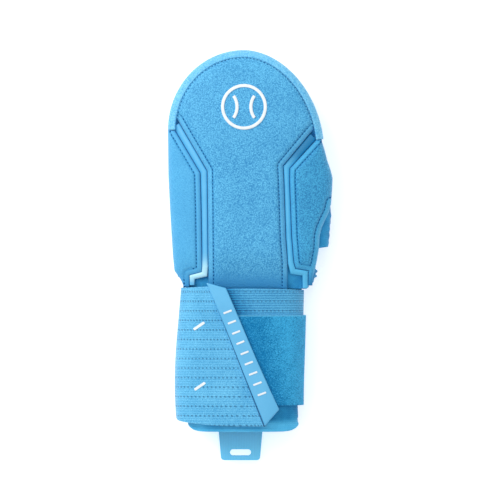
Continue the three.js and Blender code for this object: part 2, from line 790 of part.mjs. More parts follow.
function wristStrap() {
  const point = (along, across, away) => {
    const roughShare = THREE.MathUtils.lerp(tabEnds[0].leftAt, tabEnds[1].leftAt, across);
    const roughY = cuffYAt(roughShare);
    const start = turnAt(strapStartX - cuffX, roughY, true);
    const end = turnAt(tabLeftX(roughShare) + strapTuck, roughY, true) - 2 * Math.PI;
    const turn = THREE.MathUtils.lerp(start, end, along);
    const share = THREE.MathUtils.lerp(strapEdge(turn, 'top'), strapEdge(turn, 'low'), across);
    const y = cuffYAt(share);
    const climbStart = start - 2 * Math.PI + strapLift * 1.4;
    const climb = smoothStep(0, strapLift, climbStart - turn);
    const lift = THREE.MathUtils.lerp(strapStandAway, strapOuterAway, climb);
    return ovalPoint(cuffSize(y, true), turn, y, lift + away);
  };
  return sheetSolid(66, 4, (i, j) => point(i, j, 0), (i, j) => point(i, j, strapThickness));
}

function loopPanel() {
  const point = (along, across, lift) => {
    const share = THREE.MathUtils.lerp(loopEdges[0].at, loopEdges[1].at, across);
    const endTurn = THREE.MathUtils.lerp(loopEdges[0].endTurn, loopEdges[1].endTurn, across);
    const y = cuffYAt(share);
    const start = turnAt(tabLeftX(share) + loopTuck, y, true);
    const turn = THREE.MathUtils.lerp(start, endTurn, along);
    return ovalPoint(cuffSize(y, true), turn, y, loopAway + lift);
  };
  return sheetSolid(26, 4, (i, j) => point(i, j, 0), (i, j) => point(i, j, loopThickness));
}

function strapTab() {
  const [top, low] = tabEnds;
  const between = (name, along) => THREE.MathUtils.lerp(top[name], low[name], along);
  const point = (along, across, lift) => {
    const x = cuffHalfWidth * THREE.MathUtils.lerp(between('left', along), between('right', along), across);
    const y = cuffYAt(THREE.MathUtils.lerp(between('leftAt', along), between('rightAt', along), across));
    return ovalPoint(cuffSize(y, true), turnAt(x, y, true), y, tabAway + lift);
  };
  return sheetSolid(12, 4, (i, j) => point(i, j, 0), (i, j) => point(i, j, tabThickness));
}

function pullLoop() {
  const inner = hemY + pullTuck;
  const outer = hemY - pullReach;
  const grow = (pullWidth - pullEndWidth) / pullReach / 2;
  const [half, endHalf] = [pullWidth / 2 + grow * pullTuck * 0.4, pullEndWidth / 2];
  const shape = new THREE.Shape();
  shape.moveTo(pullX - half, inner);
  shape.lineTo(pullX - endHalf, outer + pullCorner);
  shape.quadraticCurveTo(pullX - endHalf, outer, pullX - endHalf + pullCorner, outer);
  shape.lineTo(pullX + endHalf - pullCorner, outer);
  shape.quadraticCurveTo(pullX + endHalf, outer, pullX + endHalf, outer + pullCorner);
  shape.lineTo(pullX + half, inner);
  shape.closePath();
  const radius = slotWidth / 2;
  const run = slotLength / 2 - radius;
  const slotY = outer + slotFromEnd;
  const slot = new THREE.Path();
  slot.moveTo(pullX - run, slotY - radius);
  slot.absarc(pullX + run, slotY, radius, -Math.PI / 2, Math.PI / 2, false);
  slot.absarc(pullX - run, slotY, radius, Math.PI / 2, Math.PI * 1.5, false);
  shape.holes.push(slot);
  const geometry = new THREE.ExtrudeGeometry(shape, { depth: pullThickness, bevelEnabled: false, curveSegments: 6 });
  const size = cuffSize(hemY, false);
  const floor = size.z - size.depth + sleeveWall + fitGap + 1.1;
  geometry.translate(0, 0, floor);
  geometry.deleteAttribute('normal');
  geometry.deleteAttribute('uv');
  const merged = mergeVertices(geometry, 1e-4);
  merged.computeVertexNormals();
  return merged;
}

// Badge: a ring and two seam arcs, on the centre plate

function onPlate(x, y, lift) {
  return new THREE.Vector3(x, y, bodyTop(x, y) + plateHeight(y) + fitGap + lift);
}

function badgeArc(middleX, radius, from, to, steps, loop) {
  const point = (along, across, lift) => {
    const angle = THREE.MathUtils.lerp(from, to, along);
    const reach = radius + (across - 0.5) * badgeLine;
    return onPlate(badgeX + middleX + reach * Math.cos(angle), badgeY + reach * Math.sin(angle), lift);
  };
  return sheetSolid(steps, 1, (i, j) => point(i, j, 0), (i, j) => point(i, j, badgeHeight), { loop });
}

function badgeSeam(side) {
  const spread = 0.62;
  const middle = side > 0 ? Math.PI : 0;
  return badgeArc(side * seamAway, seamRadius, middle - spread, middle + spread, 12, false);
}

// Materials and the assembled mitt

function finish(color, roughness, metalness = 0) {
  return new THREE.MeshStandardMaterial({ color, roughness, metalness });
}

const padFabric = finish(0x54aee2, 0.85);
const stretchFabric = finish(0x3f9ed4, 0.9);
const elasticKnit = finish(0x66b8e8, 0.85);
const fleece = finish(0x2e90c6, 0.98);
const mouldedBlue = finish(0x6cc0f0, 0.45);
const mouldedPale = finish(0x8fd2f5, 0.4);
const mouldedWhite = finish(0xf2f4f5, 0.4);

const mitt = new THREE.Group();

function add(name, geometry, material) {
  const mesh = new THREE.Mesh(geometry, material);
  mesh.name = name;
  mitt.add(mesh);
}

add('mitt_bag', mittBag(), stretchFabric);
add('centre_plate', centrePlate(), padFabric);
add('dome_rim', domeRim(), padFabric);
add('little_finger_wing', littleFingerWing(), padFabric);
add('thumb_wing', thumbWing(), padFabric);
add('little_finger_trim', channelTrim([...leftChannel, ...leftFoot], 0.5, 0.12), mouldedPale);
add('thumb_trim', channelTrim([...rightChannel, ...rightFoot], 0.5, 0.1), mouldedBlue);
add('palm_plate', palmPlate(), padFabric);
add('wrist_sleeve', wristSleeve(), stretchFabric);
add('wrist_strap', wristStrap(), elasticKnit);
add('loop_panel', loopPanel(), fleece);
add('strap_tab', strapTab(), mouldedBlue);
add('pull_loop', pullLoop(), mouldedBlue);
add('ball_ring', badgeArc(0, badgeRadius, 0, 2 * Math.PI, 40, true), mouldedWhite);
add('ball_seam_left', badgeSeam(-1), mouldedWhite);
add('ball_seam_right', badgeSeam(1), mouldedWhite);

export default mitt;
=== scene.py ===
# %% [markdown]
# # A sliding mitt, piece by piece
# A base runner wears this mitt on the left hand. Foam plates in a pebbled fabric are sewn to a soft
# hollow body, and a wide elastic strap closes it round the wrist. The mitt lies palm down.
#
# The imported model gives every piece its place. Its numbers are in metres. The sizes below are in
# millimetres, as a pattern maker writes them, and are turned into metres when a mesh is placed.

# %% Load the frame
import json
import math

import bmesh
import bpy
import numpy as np
from mathutils import Matrix, Vector

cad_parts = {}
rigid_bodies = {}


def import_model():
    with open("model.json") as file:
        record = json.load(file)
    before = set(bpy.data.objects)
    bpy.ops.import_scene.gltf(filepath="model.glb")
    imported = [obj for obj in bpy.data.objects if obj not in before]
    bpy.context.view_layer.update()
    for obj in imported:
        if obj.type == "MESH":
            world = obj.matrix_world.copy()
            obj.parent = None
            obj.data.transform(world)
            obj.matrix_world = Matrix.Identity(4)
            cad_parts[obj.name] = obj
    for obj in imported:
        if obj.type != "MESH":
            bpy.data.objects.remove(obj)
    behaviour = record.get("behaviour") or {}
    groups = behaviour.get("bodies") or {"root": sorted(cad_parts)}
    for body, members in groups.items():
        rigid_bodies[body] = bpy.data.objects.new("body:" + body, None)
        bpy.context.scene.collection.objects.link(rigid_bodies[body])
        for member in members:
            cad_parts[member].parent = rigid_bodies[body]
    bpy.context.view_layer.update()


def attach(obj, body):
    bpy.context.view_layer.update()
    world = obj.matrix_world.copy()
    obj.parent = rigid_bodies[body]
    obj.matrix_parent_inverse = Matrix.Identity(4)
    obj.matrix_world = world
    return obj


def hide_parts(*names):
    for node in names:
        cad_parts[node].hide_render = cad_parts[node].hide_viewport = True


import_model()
MM = 0.001

# %% [markdown]
# ## Sizes
# These are the main sizes of the hand part and of the cuff. Tables give how a size changes along the
# mitt. Their first column is a share of the length, and the others are shares of a width or depth.

# %% Sizes of the hand part
wrist_y, hand_length, half_width, hand_depth = -88, 188, 66, 43
tip_y = wrist_y + hand_length
crown_drop, crown_power = 12, 2.6
plate_thickness, plate_end_share, plate_taper = 8.5, 0.42, 30
rim_width, seam_gap = 5.6, 0.5
dome_tip_x = -4.8
dome_left = (-1, 60.8, 64, 2)
dome_right = (1, 64, 80, 1.88)
rim_left_end_y, rim_right_end_y = 36, 28.6
depth_table = [(-0.06, 0.88), (0, 0.9), (0.12, 0.955), (0.3, 0.99), (0.47, 1), (0.65, 0.985), (0.8, 0.915),
               (0.9, 0.81), (0.96, 0.7), (1, 0.6)]
left_edge = [(0, 0.809), (0.021, 0.833), (0.061, 0.915), (0.12, 0.932), (0.23, 0.952), (0.36, 0.973),
             (0.47, 0.988), (0.66, 0.994)]
right_edge = [(0, 0.755), (0.043, 0.77), (0.098, 0.806), (0.157, 0.836), (0.209, 0.842), (0.243, 0.867),
              (0.277, 0.909), (0.311, 0.958), (0.346, 0.982), (0.404, 0.994), (0.455, 1), (0.489, 0.976),
              (0.532, 0.933), (0.574, 0.903), (0.609, 0.87)]
bag_left_side = [(-0.006, 0.77), (0.02, 0.845), (0.045, 0.868), (0.075, 0.858), (0.12, 0.872),
                 (0.36, 0.912), (0.47, 0.927), (0.66, 0.933)]
bag_right_side = [(-0.006, 0.7), (0.012, 0.78), (0.04, 0.8), (0.075, 0.79), (0.155, 0.8),
                  (0.1625, 0.948), (0.23, 0.964), (0.3, 0.982), (0.35, 0.965), (0.42, 0.945),
                  (0.49, 0.91), (0.5745, 0.836)]
channel_width = 5.2
left_channel = [(-0.9076, 0.6888, 1.19), (-0.559, 0.48, 1.13), (-0.55, 0.309, 1.04),
                (-0.545, 0.149, 1), (-0.543, 0.08, 1)]
left_foot = [(-0.55, 0.046, 0.96), (-0.7, 0.033, 0.88), (-0.7, 0, 0.85)]
right_channel = [(0.772, 0.634, 1.38), (0.44, 0.5, 1.08), (0.444, 0.44, 0.92), (0.468, 0.204, 0.96),
                 (0.492, 0.095, 1)]
right_foot = [(0.52, 0.058, 1), (0.668, 0.05, 0.96), (0.668, 0, 0.88)]
print("hand part:", hand_length, "mm long,", 2 * half_width, "mm wide")

# %% [markdown]
# ## Sizes of the cuff and the strap
# The cuff is a tube whose width changes along the wrist, so it has a table of its own. The strap's table
# starts with a turn round the cuff, in radians, because its two edges wander as it is wound.

# %% Sizes of the cuff
cuff_length, cuff_x, cuff_half_width, cuff_half_depth, cuff_power = 117, -6, 45, 19.8, 2.5
cuff_z = 25.1
hem_y, hem_rise, sleeve_wall, sleeve_start = -205, 4.5, 3.2, 1.3
neck = {"left": 43.8, "right": 45.2, "depth": 15.2, "z": 22.8}
neck_hold, neck_length = 4.5, 17
cuff_table = [(0, 0.976, 1.036, 0.02), (0.2, 0.987, 1.022, 0.08), (0.45, 1, 1.004, 0.124),
              (0.65, 1, 0.987, 0.142), (0.85, 0.991, 0.982, 0.138), (1, 0.969, 1, 0.12)]
strap_edges = [(-2.6, 0.022, 0.82), (-1.5, 0.022, 0.82), (0, 0.034, 0.82), (1.6, 0.03, 0.86),
               (3.14, 0.02, 0.91), (3.9, 0.014, 0.94), (4.6, 0, 0.96), (6, -0.008, 0.962)]
tab_top = {"left": -0.6, "left_at": -0.017, "right": -0.28, "right_at": 0.02}
tab_low = {"left": 0.382, "left_at": 0.956, "right": 0.607, "right_at": 0.846}
strap_start_x, strap_lift, strap_tuck, strap_away, strap_over = -46, 0.45, 5, 0.6, 3.1
strap_thickness, loop_thickness, tab_thickness = 2.2, 1.6, 2.6
loop_away, tab_away, loop_tuck = 3.4, 5.6, 7
print("cuff:", cuff_length, "mm long,", 2 * cuff_half_width, "mm wide")

# %% [markdown]
# ## Reading the tables
# A seam that passes through a few marked points can be drawn with straight lines or with a smooth
# curve. The smooth one is a cubic curve whose slope at a mark comes from the marks beside it. Both take
# whole arrays of places at once, so that a fine mesh costs no more code than a coarse one.

# %% Straight and smooth tables
def straight_at(table, column, at):
    rows = np.asarray(table, float)
    return np.interp(at, rows[:, 0], rows[:, column])


def smooth_at(table, column, at):
    rows, at = np.asarray(table, float), np.asarray(at, float)
    row = np.clip(np.searchsorted(rows[:, 0], at), 1, len(rows) - 1)
    place, value = rows[:, 0], rows[:, column]
    before, after = np.maximum(row - 2, 0), np.minimum(row + 1, len(rows) - 1)
    span = place[row] - place[row - 1]
    s = np.clip((at - place[row - 1]) / span, 0, 1)
    start, end = value[row - 1], value[row]
    slope_in = (end - value[before]) / (place[row] - place[before]) * span
    slope_out = (value[after] - start) / (place[after] - place[row - 1]) * span
    return ((2 * s ** 3 - 3 * s ** 2 + 1) * start + (s ** 3 - 2 * s ** 2 + s) * slope_in
            + (3 * s ** 2 - 2 * s ** 3) * end + (s ** 3 - s ** 2) * slope_out)


def ease(low, high, value):
    s = np.clip((np.asarray(value, float) - low) / (high - low), 0, 1)
    return s * s * (3 - 2 * s)


def mix(a, b, share):
    return a + (b - a) * share


print("depth at the middle of the hand:", round(float(smooth_at(depth_table, 1, 0.47)) * hand_depth, 1))

# %% [markdown]
# ## The back of the hand
# The soft body's back is a low crown: highest along the middle, and lower towards the sides and the
# finger tip. Every plate is sewn down on it, so its height is one function that all of them share.

# %% The crown, and the plates' thickness
def body_top(x, y):
    depth = smooth_at(depth_table, 1, (np.asarray(y, float) - wrist_y) / hand_length) * hand_depth
    return depth - crown_drop * (np.abs(x) / half_width) ** crown_power


def plate_height(y):
    return plate_thickness * mix(plate_end_share, 1, ease(wrist_y, wrist_y + plate_taper, y))


def dome_x(quarter, y, inset):
    side, out, up, power = quarter
    rise = np.clip((np.asarray(y, float) - tip_y + up) / (up - inset), 0, 1)
    return dome_tip_x + side * (out - inset) * (1 - rise ** power) ** (1 / power)


print("plate thickness at the wrist:", round(float(plate_height(wrist_y)), 2), "mm")

# %% [markdown]
# ## From a flat grid to a shaped piece
# Many pieces here are a cloth that was cut flat and then shaped. Blender's grid operator makes the flat
# cloth with its UV map, and a function says where each of its points goes. A seam is closed by merging
# the points that fall on one place. The normals are turned outwards after that.
# The flat grid's own size stays in the UV map in metres, so a rib or a weave keeps its scale.

# %% A shaped grid
def shaped_grid(name, columns, rows, place, flat=(1, 1)):
    shape = bmesh.new()
    uv = shape.loops.layers.uv.new("UVMap")
    edge = shape.verts.layers.float.new("edge")
    bmesh.ops.create_grid(shape, x_segments=columns, y_segments=rows, size=0.5, calc_uvs=True)
    flat_places = np.array([v.co[:2] for v in shape.verts]) + 0.5
    placed = place(flat_places[:, 0], flat_places[:, 1])
    marks = placed[1] if isinstance(placed, tuple) else np.zeros(len(flat_places))
    points = placed[0] if isinstance(placed, tuple) else placed
    wide = np.atleast_1d(flat[0])
    lengths = np.linspace(0, wide[0], columns + 1) if len(wide) == 1 else wide
    for face in shape.faces:
        for loop in face.loops:
            x, y = loop.vert.co[:2]
            loop[uv].uv = (lengths[round((x + 0.5) * columns)], (y + 0.5) * flat[1])
    for vert, point, mark in zip(shape.verts, points * MM, marks):
        vert.co = point
        vert[edge] = mark
    bmesh.ops.remove_doubles(shape, verts=shape.verts, dist=1e-6)
    bmesh.ops.dissolve_degenerate(shape, edges=shape.edges, dist=1e-7)
    bmesh.ops.recalc_face_normals(shape, faces=shape.faces)
    return finish_mesh(name, shape)


def finish_mesh(name, shape, smooth=True):
    mesh = bpy.data.meshes.new(name)
    for face in shape.faces:
        face.smooth = smooth
    shape.to_mesh(mesh)
    shape.free()
    piece = bpy.data.objects.new(name, mesh)
    bpy.context.scene.collection.objects.link(piece)
    return piece


def sharpen(piece, degrees):
    piece.data.set_sharp_from_angle(angle=math.radians(degrees))


def seat(piece, slot, *nodes):
    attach(piece, "root")
    if nodes:
        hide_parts(*nodes)
    print(piece.name, len(piece.data.vertices), "points")


# %% [markdown]
# ## The view
# The mitt was photographed from straight above. A long lens, far off, keeps the sides parallel. The
# camera comes first, because everything after it is judged through it.

# %% Camera
camera_data = bpy.data.cameras.new("camera")
camera_data.lens, camera_data.sensor_width = 400, 36
camera = bpy.data.objects.new("camera", camera_data)
camera.location = (0, -0.060, 4.472)
bpy.context.scene.collection.objects.link(camera)
bpy.context.scene.camera = camera
print("camera looks down from", round(camera.location.z, 3), "m")

# %% [markdown]
# ## Shader maths in plain sums
# A finish is a net of nodes. Adding each one by hand hides what it means, so a small class wraps a
# socket and lets it be used in ordinary sums: `1 - mask * 0.4` adds its own Math nodes. Every other kind
# of node comes from one method, which sets the node's choices first and then its sockets.

# %% Numbers and finishes
class Number:
    def __init__(self, finish, socket):
        self.finish, self.socket = finish, socket

    def sum(self, operation, *others, flip=False):
        values = [*others, self] if flip else [self, *others]
        node = self.finish.node("ShaderNodeMath", {"operation": operation}, dict(enumerate(values)))
        return Number(self.finish, node.outputs[0])

    def __add__(self, other): return self.sum("ADD", other)
    def __radd__(self, other): return self.sum("ADD", other)
    def __sub__(self, other): return self.sum("SUBTRACT", other)
    def __rsub__(self, other): return self.sum("SUBTRACT", other, flip=True)
    def __mul__(self, other): return self.sum("MULTIPLY", other)
    def __rmul__(self, other): return self.sum("MULTIPLY", other)
    def __truediv__(self, other): return self.sum("DIVIDE", other)
    def __pow__(self, other): return self.sum("POWER", other)
    def __abs__(self): return self.sum("ABSOLUTE")
    def fract(self): return self.sum("FRACT")
    def floor(self): return self.sum("FLOOR")
    def wave(self, pitch): return (self * (2 * math.pi / pitch)).sum("SINE")
    def least(self, other): return self.sum("MINIMUM", other)
    def most(self, other): return self.sum("MAXIMUM", other)

    def between(self, low, high):
        """0 below low and 1 above high, with a soft change. low may be above high."""
        node = self.finish.node("ShaderNodeMapRange", {"interpolation_type": "SMOOTHSTEP"},
                                {"Value": self, "From Min": low, "From Max": high})
        return Number(self.finish, node.outputs[0])


class Finish:
    def __init__(self, name, fixed):
        self.material = bpy.data.materials.new(name)
        self.material.use_nodes = True
        self.tree = self.material.node_tree
        self.surface = self.tree.nodes["Principled BSDF"]
        for socket, value in fixed.items():
            self.surface.inputs[socket].default_value = value

    def node(self, kind, settings=None, sockets=None):
        node = self.tree.nodes.new(kind)
        for key, value in (settings or {}).items():
            setattr(node, key, value)
        for key, value in (sockets or {}).items():
            if isinstance(value, Number):
                self.tree.links.new(value.socket, node.inputs[key])
            else:
                node.inputs[key].default_value = value
        return node

    def number(self, kind, settings=None, sockets=None, output=0):
        return Number(self, self.node(kind, settings, sockets).outputs[output])

    def place(self):
        return self.number("ShaderNodeTexCoord", output="Object")

    def flat(self):
        return self.number("ShaderNodeTexCoord", output="UV")

    def parts(self, vector):
        node = self.node("ShaderNodeSeparateXYZ", None, {"Vector": vector})
        return [Number(self, node.outputs[i]) for i in range(3)]

    def noise(self, vector, size, detail=2, rough=0.5):
        return self.number("ShaderNodeTexNoise", None, {"Vector": vector, "Scale": 1 / size, "Detail": detail,
                                                        "Roughness": rough})

    def cells(self, vector, size):
        return self.number("ShaderNodeTexVoronoi", None, {"Vector": vector, "Scale": 1 / size})

    def mark(self, name):
        return self.number("ShaderNodeAttribute", {"attribute_name": name}, output="Fac")

    def blend(self, share, first, second):
        node = self.node("ShaderNodeMix", {"data_type": "RGBA"}, {0: share, 6: first, 7: second})
        return Number(self, node.outputs[2])

    def set(self, colour=None, roughness=None, height=None, depth=0.0003):
        links = self.tree.links
        if colour is not None:
            links.new(colour.socket, self.surface.inputs["Base Color"])
        if roughness is not None:
            links.new(roughness.socket, self.surface.inputs["Roughness"])
        if height is not None:
            bump = self.node("ShaderNodeBump", None, {"Height": height, "Distance": depth, "Strength": 1.0})
            links.new(bump.outputs[0], self.surface.inputs["Normal"])
        return self.material


def dye(red, green, blue):
    """A colour as seen on a screen, 0 to 255, as the light that it gives back."""
    return (*[((c / 255 + 0.055) / 1.055) ** 2.4 for c in (red, green, blue)], 1)


print("dye of the plates:", [round(x, 3) for x in dye(88, 175, 224)])

# %% [markdown]
# ## Pebbled pad fabric
# The plates are covered in a thin coated fabric with a grain of fine pebbles, about a millimetre apart.
# Real pebbles could be modelled, but they would cost millions of faces. A Voronoi texture gives their
# round tops and dark joints as a bump. A second noise, ten times larger, makes the dye a little uneven.
# Along the borders the foam is pressed thin and the fabric is smoother; a painted highlight makes it paler.
# The `edge` attribute holds the distance to the sewn border's edge in millimetres, so the finish knows
# where it is.
#
# Four finishes share this recipe: pebbled for the centre and the palm, pressed and almost plain for the
# little finger's side, darker for the thumb's side as painted shade, and palest for the dome's border as a
# painted highlight.

# %% The pad fabric's finish
def pad_finish(name, blue, pale, deep, grains=2.1):
    pad = Finish(name, {"Sheen Weight": 0.12, "Sheen Roughness": 0.5, "Specular IOR Level": 0.35})
    place = pad.place()
    edge = pad.mark("edge")
    wobble = pad.noise(place, 0.00085, 2, 0.6)
    pebble = pad.cells(place, 0.0011)
    inner = edge.between(3.6, 5.4)
    grain = (wobble - 0.5) * 0.75 + (0.45 - pebble) * 0.35
    cloud = pad.noise(place, 0.019, 3, 0.55)
    speck = (grain * (1.1 + inner * 1.1) * grains * 0.7 + (cloud - 0.5) * 0.45 + 0.5).least(1).most(0)
    base = pad.blend(speck, deep, blue)
    # Painted highlight: the border is blended a little towards the pale dye.
    border = 1 - edge.between(2.4, 4.0)
    base = pad.blend(border * 0.2, base, pale)
    # Painted shade: the stitched groove is darkened towards the deep dye.
    groove = 1 - abs(edge - 4.25).between(0.25, 0.95)
    base = pad.blend(groove * 0.6, base, deep)
    # Painted shade: the plates darken towards the wrist, where they dip under the strap.
    _, y, _ = pad.parts(place)
    base = pad.blend((1 - y.between(-0.0885, -0.073)) * 0.95, base, deep)
    rough = 0.62 - inner * 0.05 + (wobble - 0.5) * 0.2
    height = (pebble * -0.6 + wobble * 0.8) * (0.5 + inner * 0.5)
    return pad.set(base, rough, height, 0.00028)


pad_blue = pad_finish("pebbled_pad_fabric", dye(100, 196, 241), dye(122, 208, 250), dye(42, 138, 196))
pad_smooth = pad_finish("pressed_pad_fabric", dye(94, 192, 240), dye(118, 206, 250), dye(54, 150, 208), 0.9)
# The thumb's side is darker as painted shade.
pad_shaded = pad_finish("shaded_pad_fabric", dye(74, 184, 232), dye(100, 204, 250), dye(24, 124, 182), 2.0)
# The dome's border is paler as a painted highlight.
pad_border_highlight = pad_finish("highlight_border_pad_fabric", dye(138, 218, 252), dye(146, 220, 252), dye(66, 164, 220), 1.5)
print(pad_blue.name, len(pad_blue.node_tree.nodes), "nodes")

# %% [markdown]
# ## A sewn foam plate
# Each plate is cut from foam, covered, and sewn near its border, so its border is thin, a groove runs
# where the thread pulls the foam down, and the middle swells a little. It could be a box with a bevel,
# but a bevel has no groove. Here the flat grid runs once round the outline in one direction, and from
# the middle of the top, over the border and down the wall, to the middle underneath in the other. The
# height then depends on the true distance to the outline, which keeps the border even round corners.

# %% Distances to an outline, and rings inside it
ring_reach = [0, 0.12, 0.35, 0.7, 1.1, 1.6, 2.1, 2.6, 3.0, 3.35, 3.65, 3.9, 4.15, 4.4, 4.65, 4.95, 5.3,
              5.8, 6.4, 7.2, 8.2, 9.5]
inner_rings = 9


def distance_to_line(points, line):
    start, end = line[:-1], line[1:]
    run = end - start
    long = np.maximum((run ** 2).sum(1), 1e-12)
    nearest = np.full(len(points), np.inf)
    for chunk in range(0, len(points), 2000):
        part = points[chunk:chunk + 2000]
        share = np.clip(((part[:, None] - start) * run).sum(2) / long, 0, 1)
        gap = part[:, None] - start - share[..., None] * run
        nearest[chunk:chunk + 2000] = np.sqrt((gap ** 2).sum(2)).min(1)
    return nearest


def outline(rows, left, right, ends, pole_margin, pointed=False):
    """Points round a plate, and for each the point of the middle line that its ring runs to."""
    rows = np.asarray(rows, float)
    low, high = rows[-1], rows[0]
    left_x, right_x = left(rows), right(rows)
    across = np.linspace(0, 1, ends + 1)[1:-1]
    bottom = np.column_stack([mix(left_x[-1], right_x[-1], across), np.full(ends - 1, low)])
    sides = [np.column_stack([left_x, rows]), bottom, np.column_stack([right_x, rows])[::-1]]
    if pointed:
        sides[2] = sides[2][:-1]
    else:
        sides.append(np.column_stack([mix(right_x[0], left_x[0], across), np.full(ends - 1, high)]))
    edge = np.vstack(sides)
    pole_y = np.clip(edge[:, 1], low + pole_margin[0], high - pole_margin[1])
    middle = (np.interp(pole_y, rows[::-1], left_x[::-1]) + np.interp(pole_y, rows[::-1], right_x[::-1])) / 2
    return edge, np.column_stack([middle, pole_y])


def rings_inside(edge, poles):
    closed = np.vstack([edge, edge[:1]])
    run = np.roll(edge, -1, 0) - np.roll(edge, 1, 0)
    inward = np.column_stack([-run[:, 1], run[:, 0]]) / np.linalg.norm(run, axis=1)[:, None]
    to_pole = poles - edge
    long = np.linalg.norm(to_pole, axis=1)
    slant = np.clip(np.abs((to_pole * inward).sum(1)) / long, 0.45, 1)
    first = np.array(ring_reach)[None] / slant[:, None] * np.minimum(1, long * slant / 12)[:, None]
    rest = np.linspace(0, 1, inner_rings + 1)[1:]
    last = first[:, -1:] + (long[:, None] - first[:, -1:]) * rest[None]
    reach = np.hstack([first, last])
    points = edge[:, None] + to_pole[:, None] / long[:, None, None] * reach[..., None]
    return points, closed


print("rings over a plate:", len(ring_reach) + inner_rings)

# %% [markdown]
# ## The plate's profile
# Each table gives the foam's height against the distance from an edge: one for a stitched border with
# its groove, one for a seam against another piece, and one for a bare cut edge. The lowest one holds.

# %% A plate from its outline
side_profile = [(0, 0.3), (0.12, 0.46), (0.35, 0.57), (0.7, 0.65), (1.4, 0.73), (2.4, 0.8), (3.4, 0.825),
                (3.85, 0.8), (4.2, 0.76), (4.55, 0.8), (5, 0.88), (5.8, 0.94), (7.2, 0.98),
                (10, 1.0), (16, 1.02), (24, 1.03)]
seam_profile = [(0, 0.79), (0.2, 0.83), (0.6, 0.89), (1.3, 0.93), (2.4, 0.97), (4, 0.995), (8, 1.01),
                (24, 1.03)]
plain_profile = [(0, 0.3), (0.15, 0.45), (0.5, 0.58), (1.1, 0.7), (2, 0.8), (3.2, 0.88), (5, 0.95), (8, 1.0),
                 (16, 1.02), (24, 1.03)]


def on_profile(profile, distance):
    rows = np.array(profile)
    return np.interp(distance, rows[:, 0], rows[:, 1])


groove_reach = 4.2


def plate(name, edge, poles, base, height, sewn=None, seams=(), plain=(), flat_side=False):
    """sewn are the lines with a stitched border, seams those on another piece, and plain the bare edges."""
    points, closed = rings_inside(edge, poles)
    count, rings = points.shape[:2]
    tops = points.reshape(-1, 2)
    marks = np.min([distance_to_line(tops, line) for line in ([closed] if sewn is None else sewn)], axis=0)
    share = on_profile(side_profile, marks)
    for lines, profile in ((seams, seam_profile), (plain, plain_profile)):
        for line in lines:
            away = distance_to_line(tops, line)
            share = np.minimum(share, on_profile(profile, away))
    ground = base(tops[:, 0], tops[:, 1])
    lift = height(tops[:, 1]) * share
    top_z = (ground - lift if flat_side else ground + lift).reshape(count, rings)
    ground, marks = ground.reshape(count, rings), marks.reshape(count, rings)
    under = [0, len(ring_reach) - 1, rings - 4, rings - 1]
    order = [*range(rings - 1, -1, -1), *under]

    def place(u, v):
        i = np.round(u * count).astype(int) % count
        j = np.round(v * (len(order) - 1)).astype(int)
        ring = np.array(order)[j]
        top = j < rings
        z = np.where(top, top_z[i, ring], ground[i, ring])
        return np.column_stack([points[i, ring], z]), marks[i, ring]

    piece = shaped_grid(name, count, len(order) - 1, place)
    outer = len(ring_reach)
    reach = np.maximum.accumulate(marks[:, :outer], axis=1)
    groove = np.array([[np.interp(groove_reach, reach[i], points[i, :outer, k]) for k in range(2)]
                       for i in range(count)])
    return piece, groove


print("plate profile from", side_profile[0], "to", side_profile[-1])

# %% [markdown]
# ## Lines beside the channels
# A channel is a strip of bare body between two plates, with a moulded strip laid in it. Its middle line
# has a few corners. The plates' sides are that line moved to one side, with mitred corners, so that the
# channel keeps its width round each bend.

# %% Channel lines
def channel_line(rows, share, clear=0):
    table = np.array(rows)
    places = np.column_stack([table[:, 0] * half_width, wrist_y + table[:, 1] * hand_length])
    width = table[:, 2] * channel_width
    run = np.diff(places, axis=0)
    run /= np.linalg.norm(run, axis=1)[:, None]
    into, out = np.vstack([run[:1], run]), np.vstack([run, run[-1:]])
    turn = (into + out) / np.linalg.norm(into + out, axis=1)[:, None]
    away = (share * width + np.sign(share) * clear) / (turn * into).sum(1)
    return np.column_stack([places[:, 0] - turn[:, 1] * away, places[:, 1] + turn[:, 0] * away])


def x_on_line(line, y, run_on=False):
    """A line's x at y. Past its first point the line may run on straight."""
    y = np.asarray(y, float)
    x = np.interp(-y, -line[:, 1], line[:, 0])
    slope = (line[0, 0] - line[1, 0]) / (line[0, 1] - line[1, 1])
    return np.where(run_on & (y > line[0, 1]), line[0, 0] + slope * (y - line[0, 1]), x)


left_plate_line = channel_line(left_channel, 0.5)
right_plate_line = channel_line(right_channel, -0.5)
left_wing_line = channel_line(left_channel + left_foot, -0.5)
right_wing_line = channel_line(right_channel + right_foot, 0.5)
print("neck of the centre plate:", round(right_plate_line[1, 0] - left_plate_line[1, 0], 1), "mm wide")

# %% [markdown]
# ## The centre plate
# The largest plate covers the back of the hand: a dome over the fingers that narrows to a straight neck.
# At the dome it stops at the sewn border, and at the neck it has a border of its own.

# %% Centre plate
plate_inset = rim_width + seam_gap
plate_low = wrist_y - 4


def plate_left(y):
    on_dome = np.where(y > tip_y - dome_left[2], dome_x(dome_left, y, plate_inset), -1e6)
    return np.maximum(on_dome, x_on_line(left_plate_line, y, True))


def plate_right(y):
    on_dome = np.where(y > tip_y - dome_right[2], dome_x(dome_right, y, plate_inset), 1e6)
    return np.minimum(on_dome, x_on_line(right_plate_line, y, True))


def rows_between(high, low, step, keys=()):
    count = max(2, int(round((high - low) / step)))
    inside = [k for k in keys if low < k < high]
    return np.unique(np.concatenate([np.linspace(low, high, count + 1), inside]))[::-1]


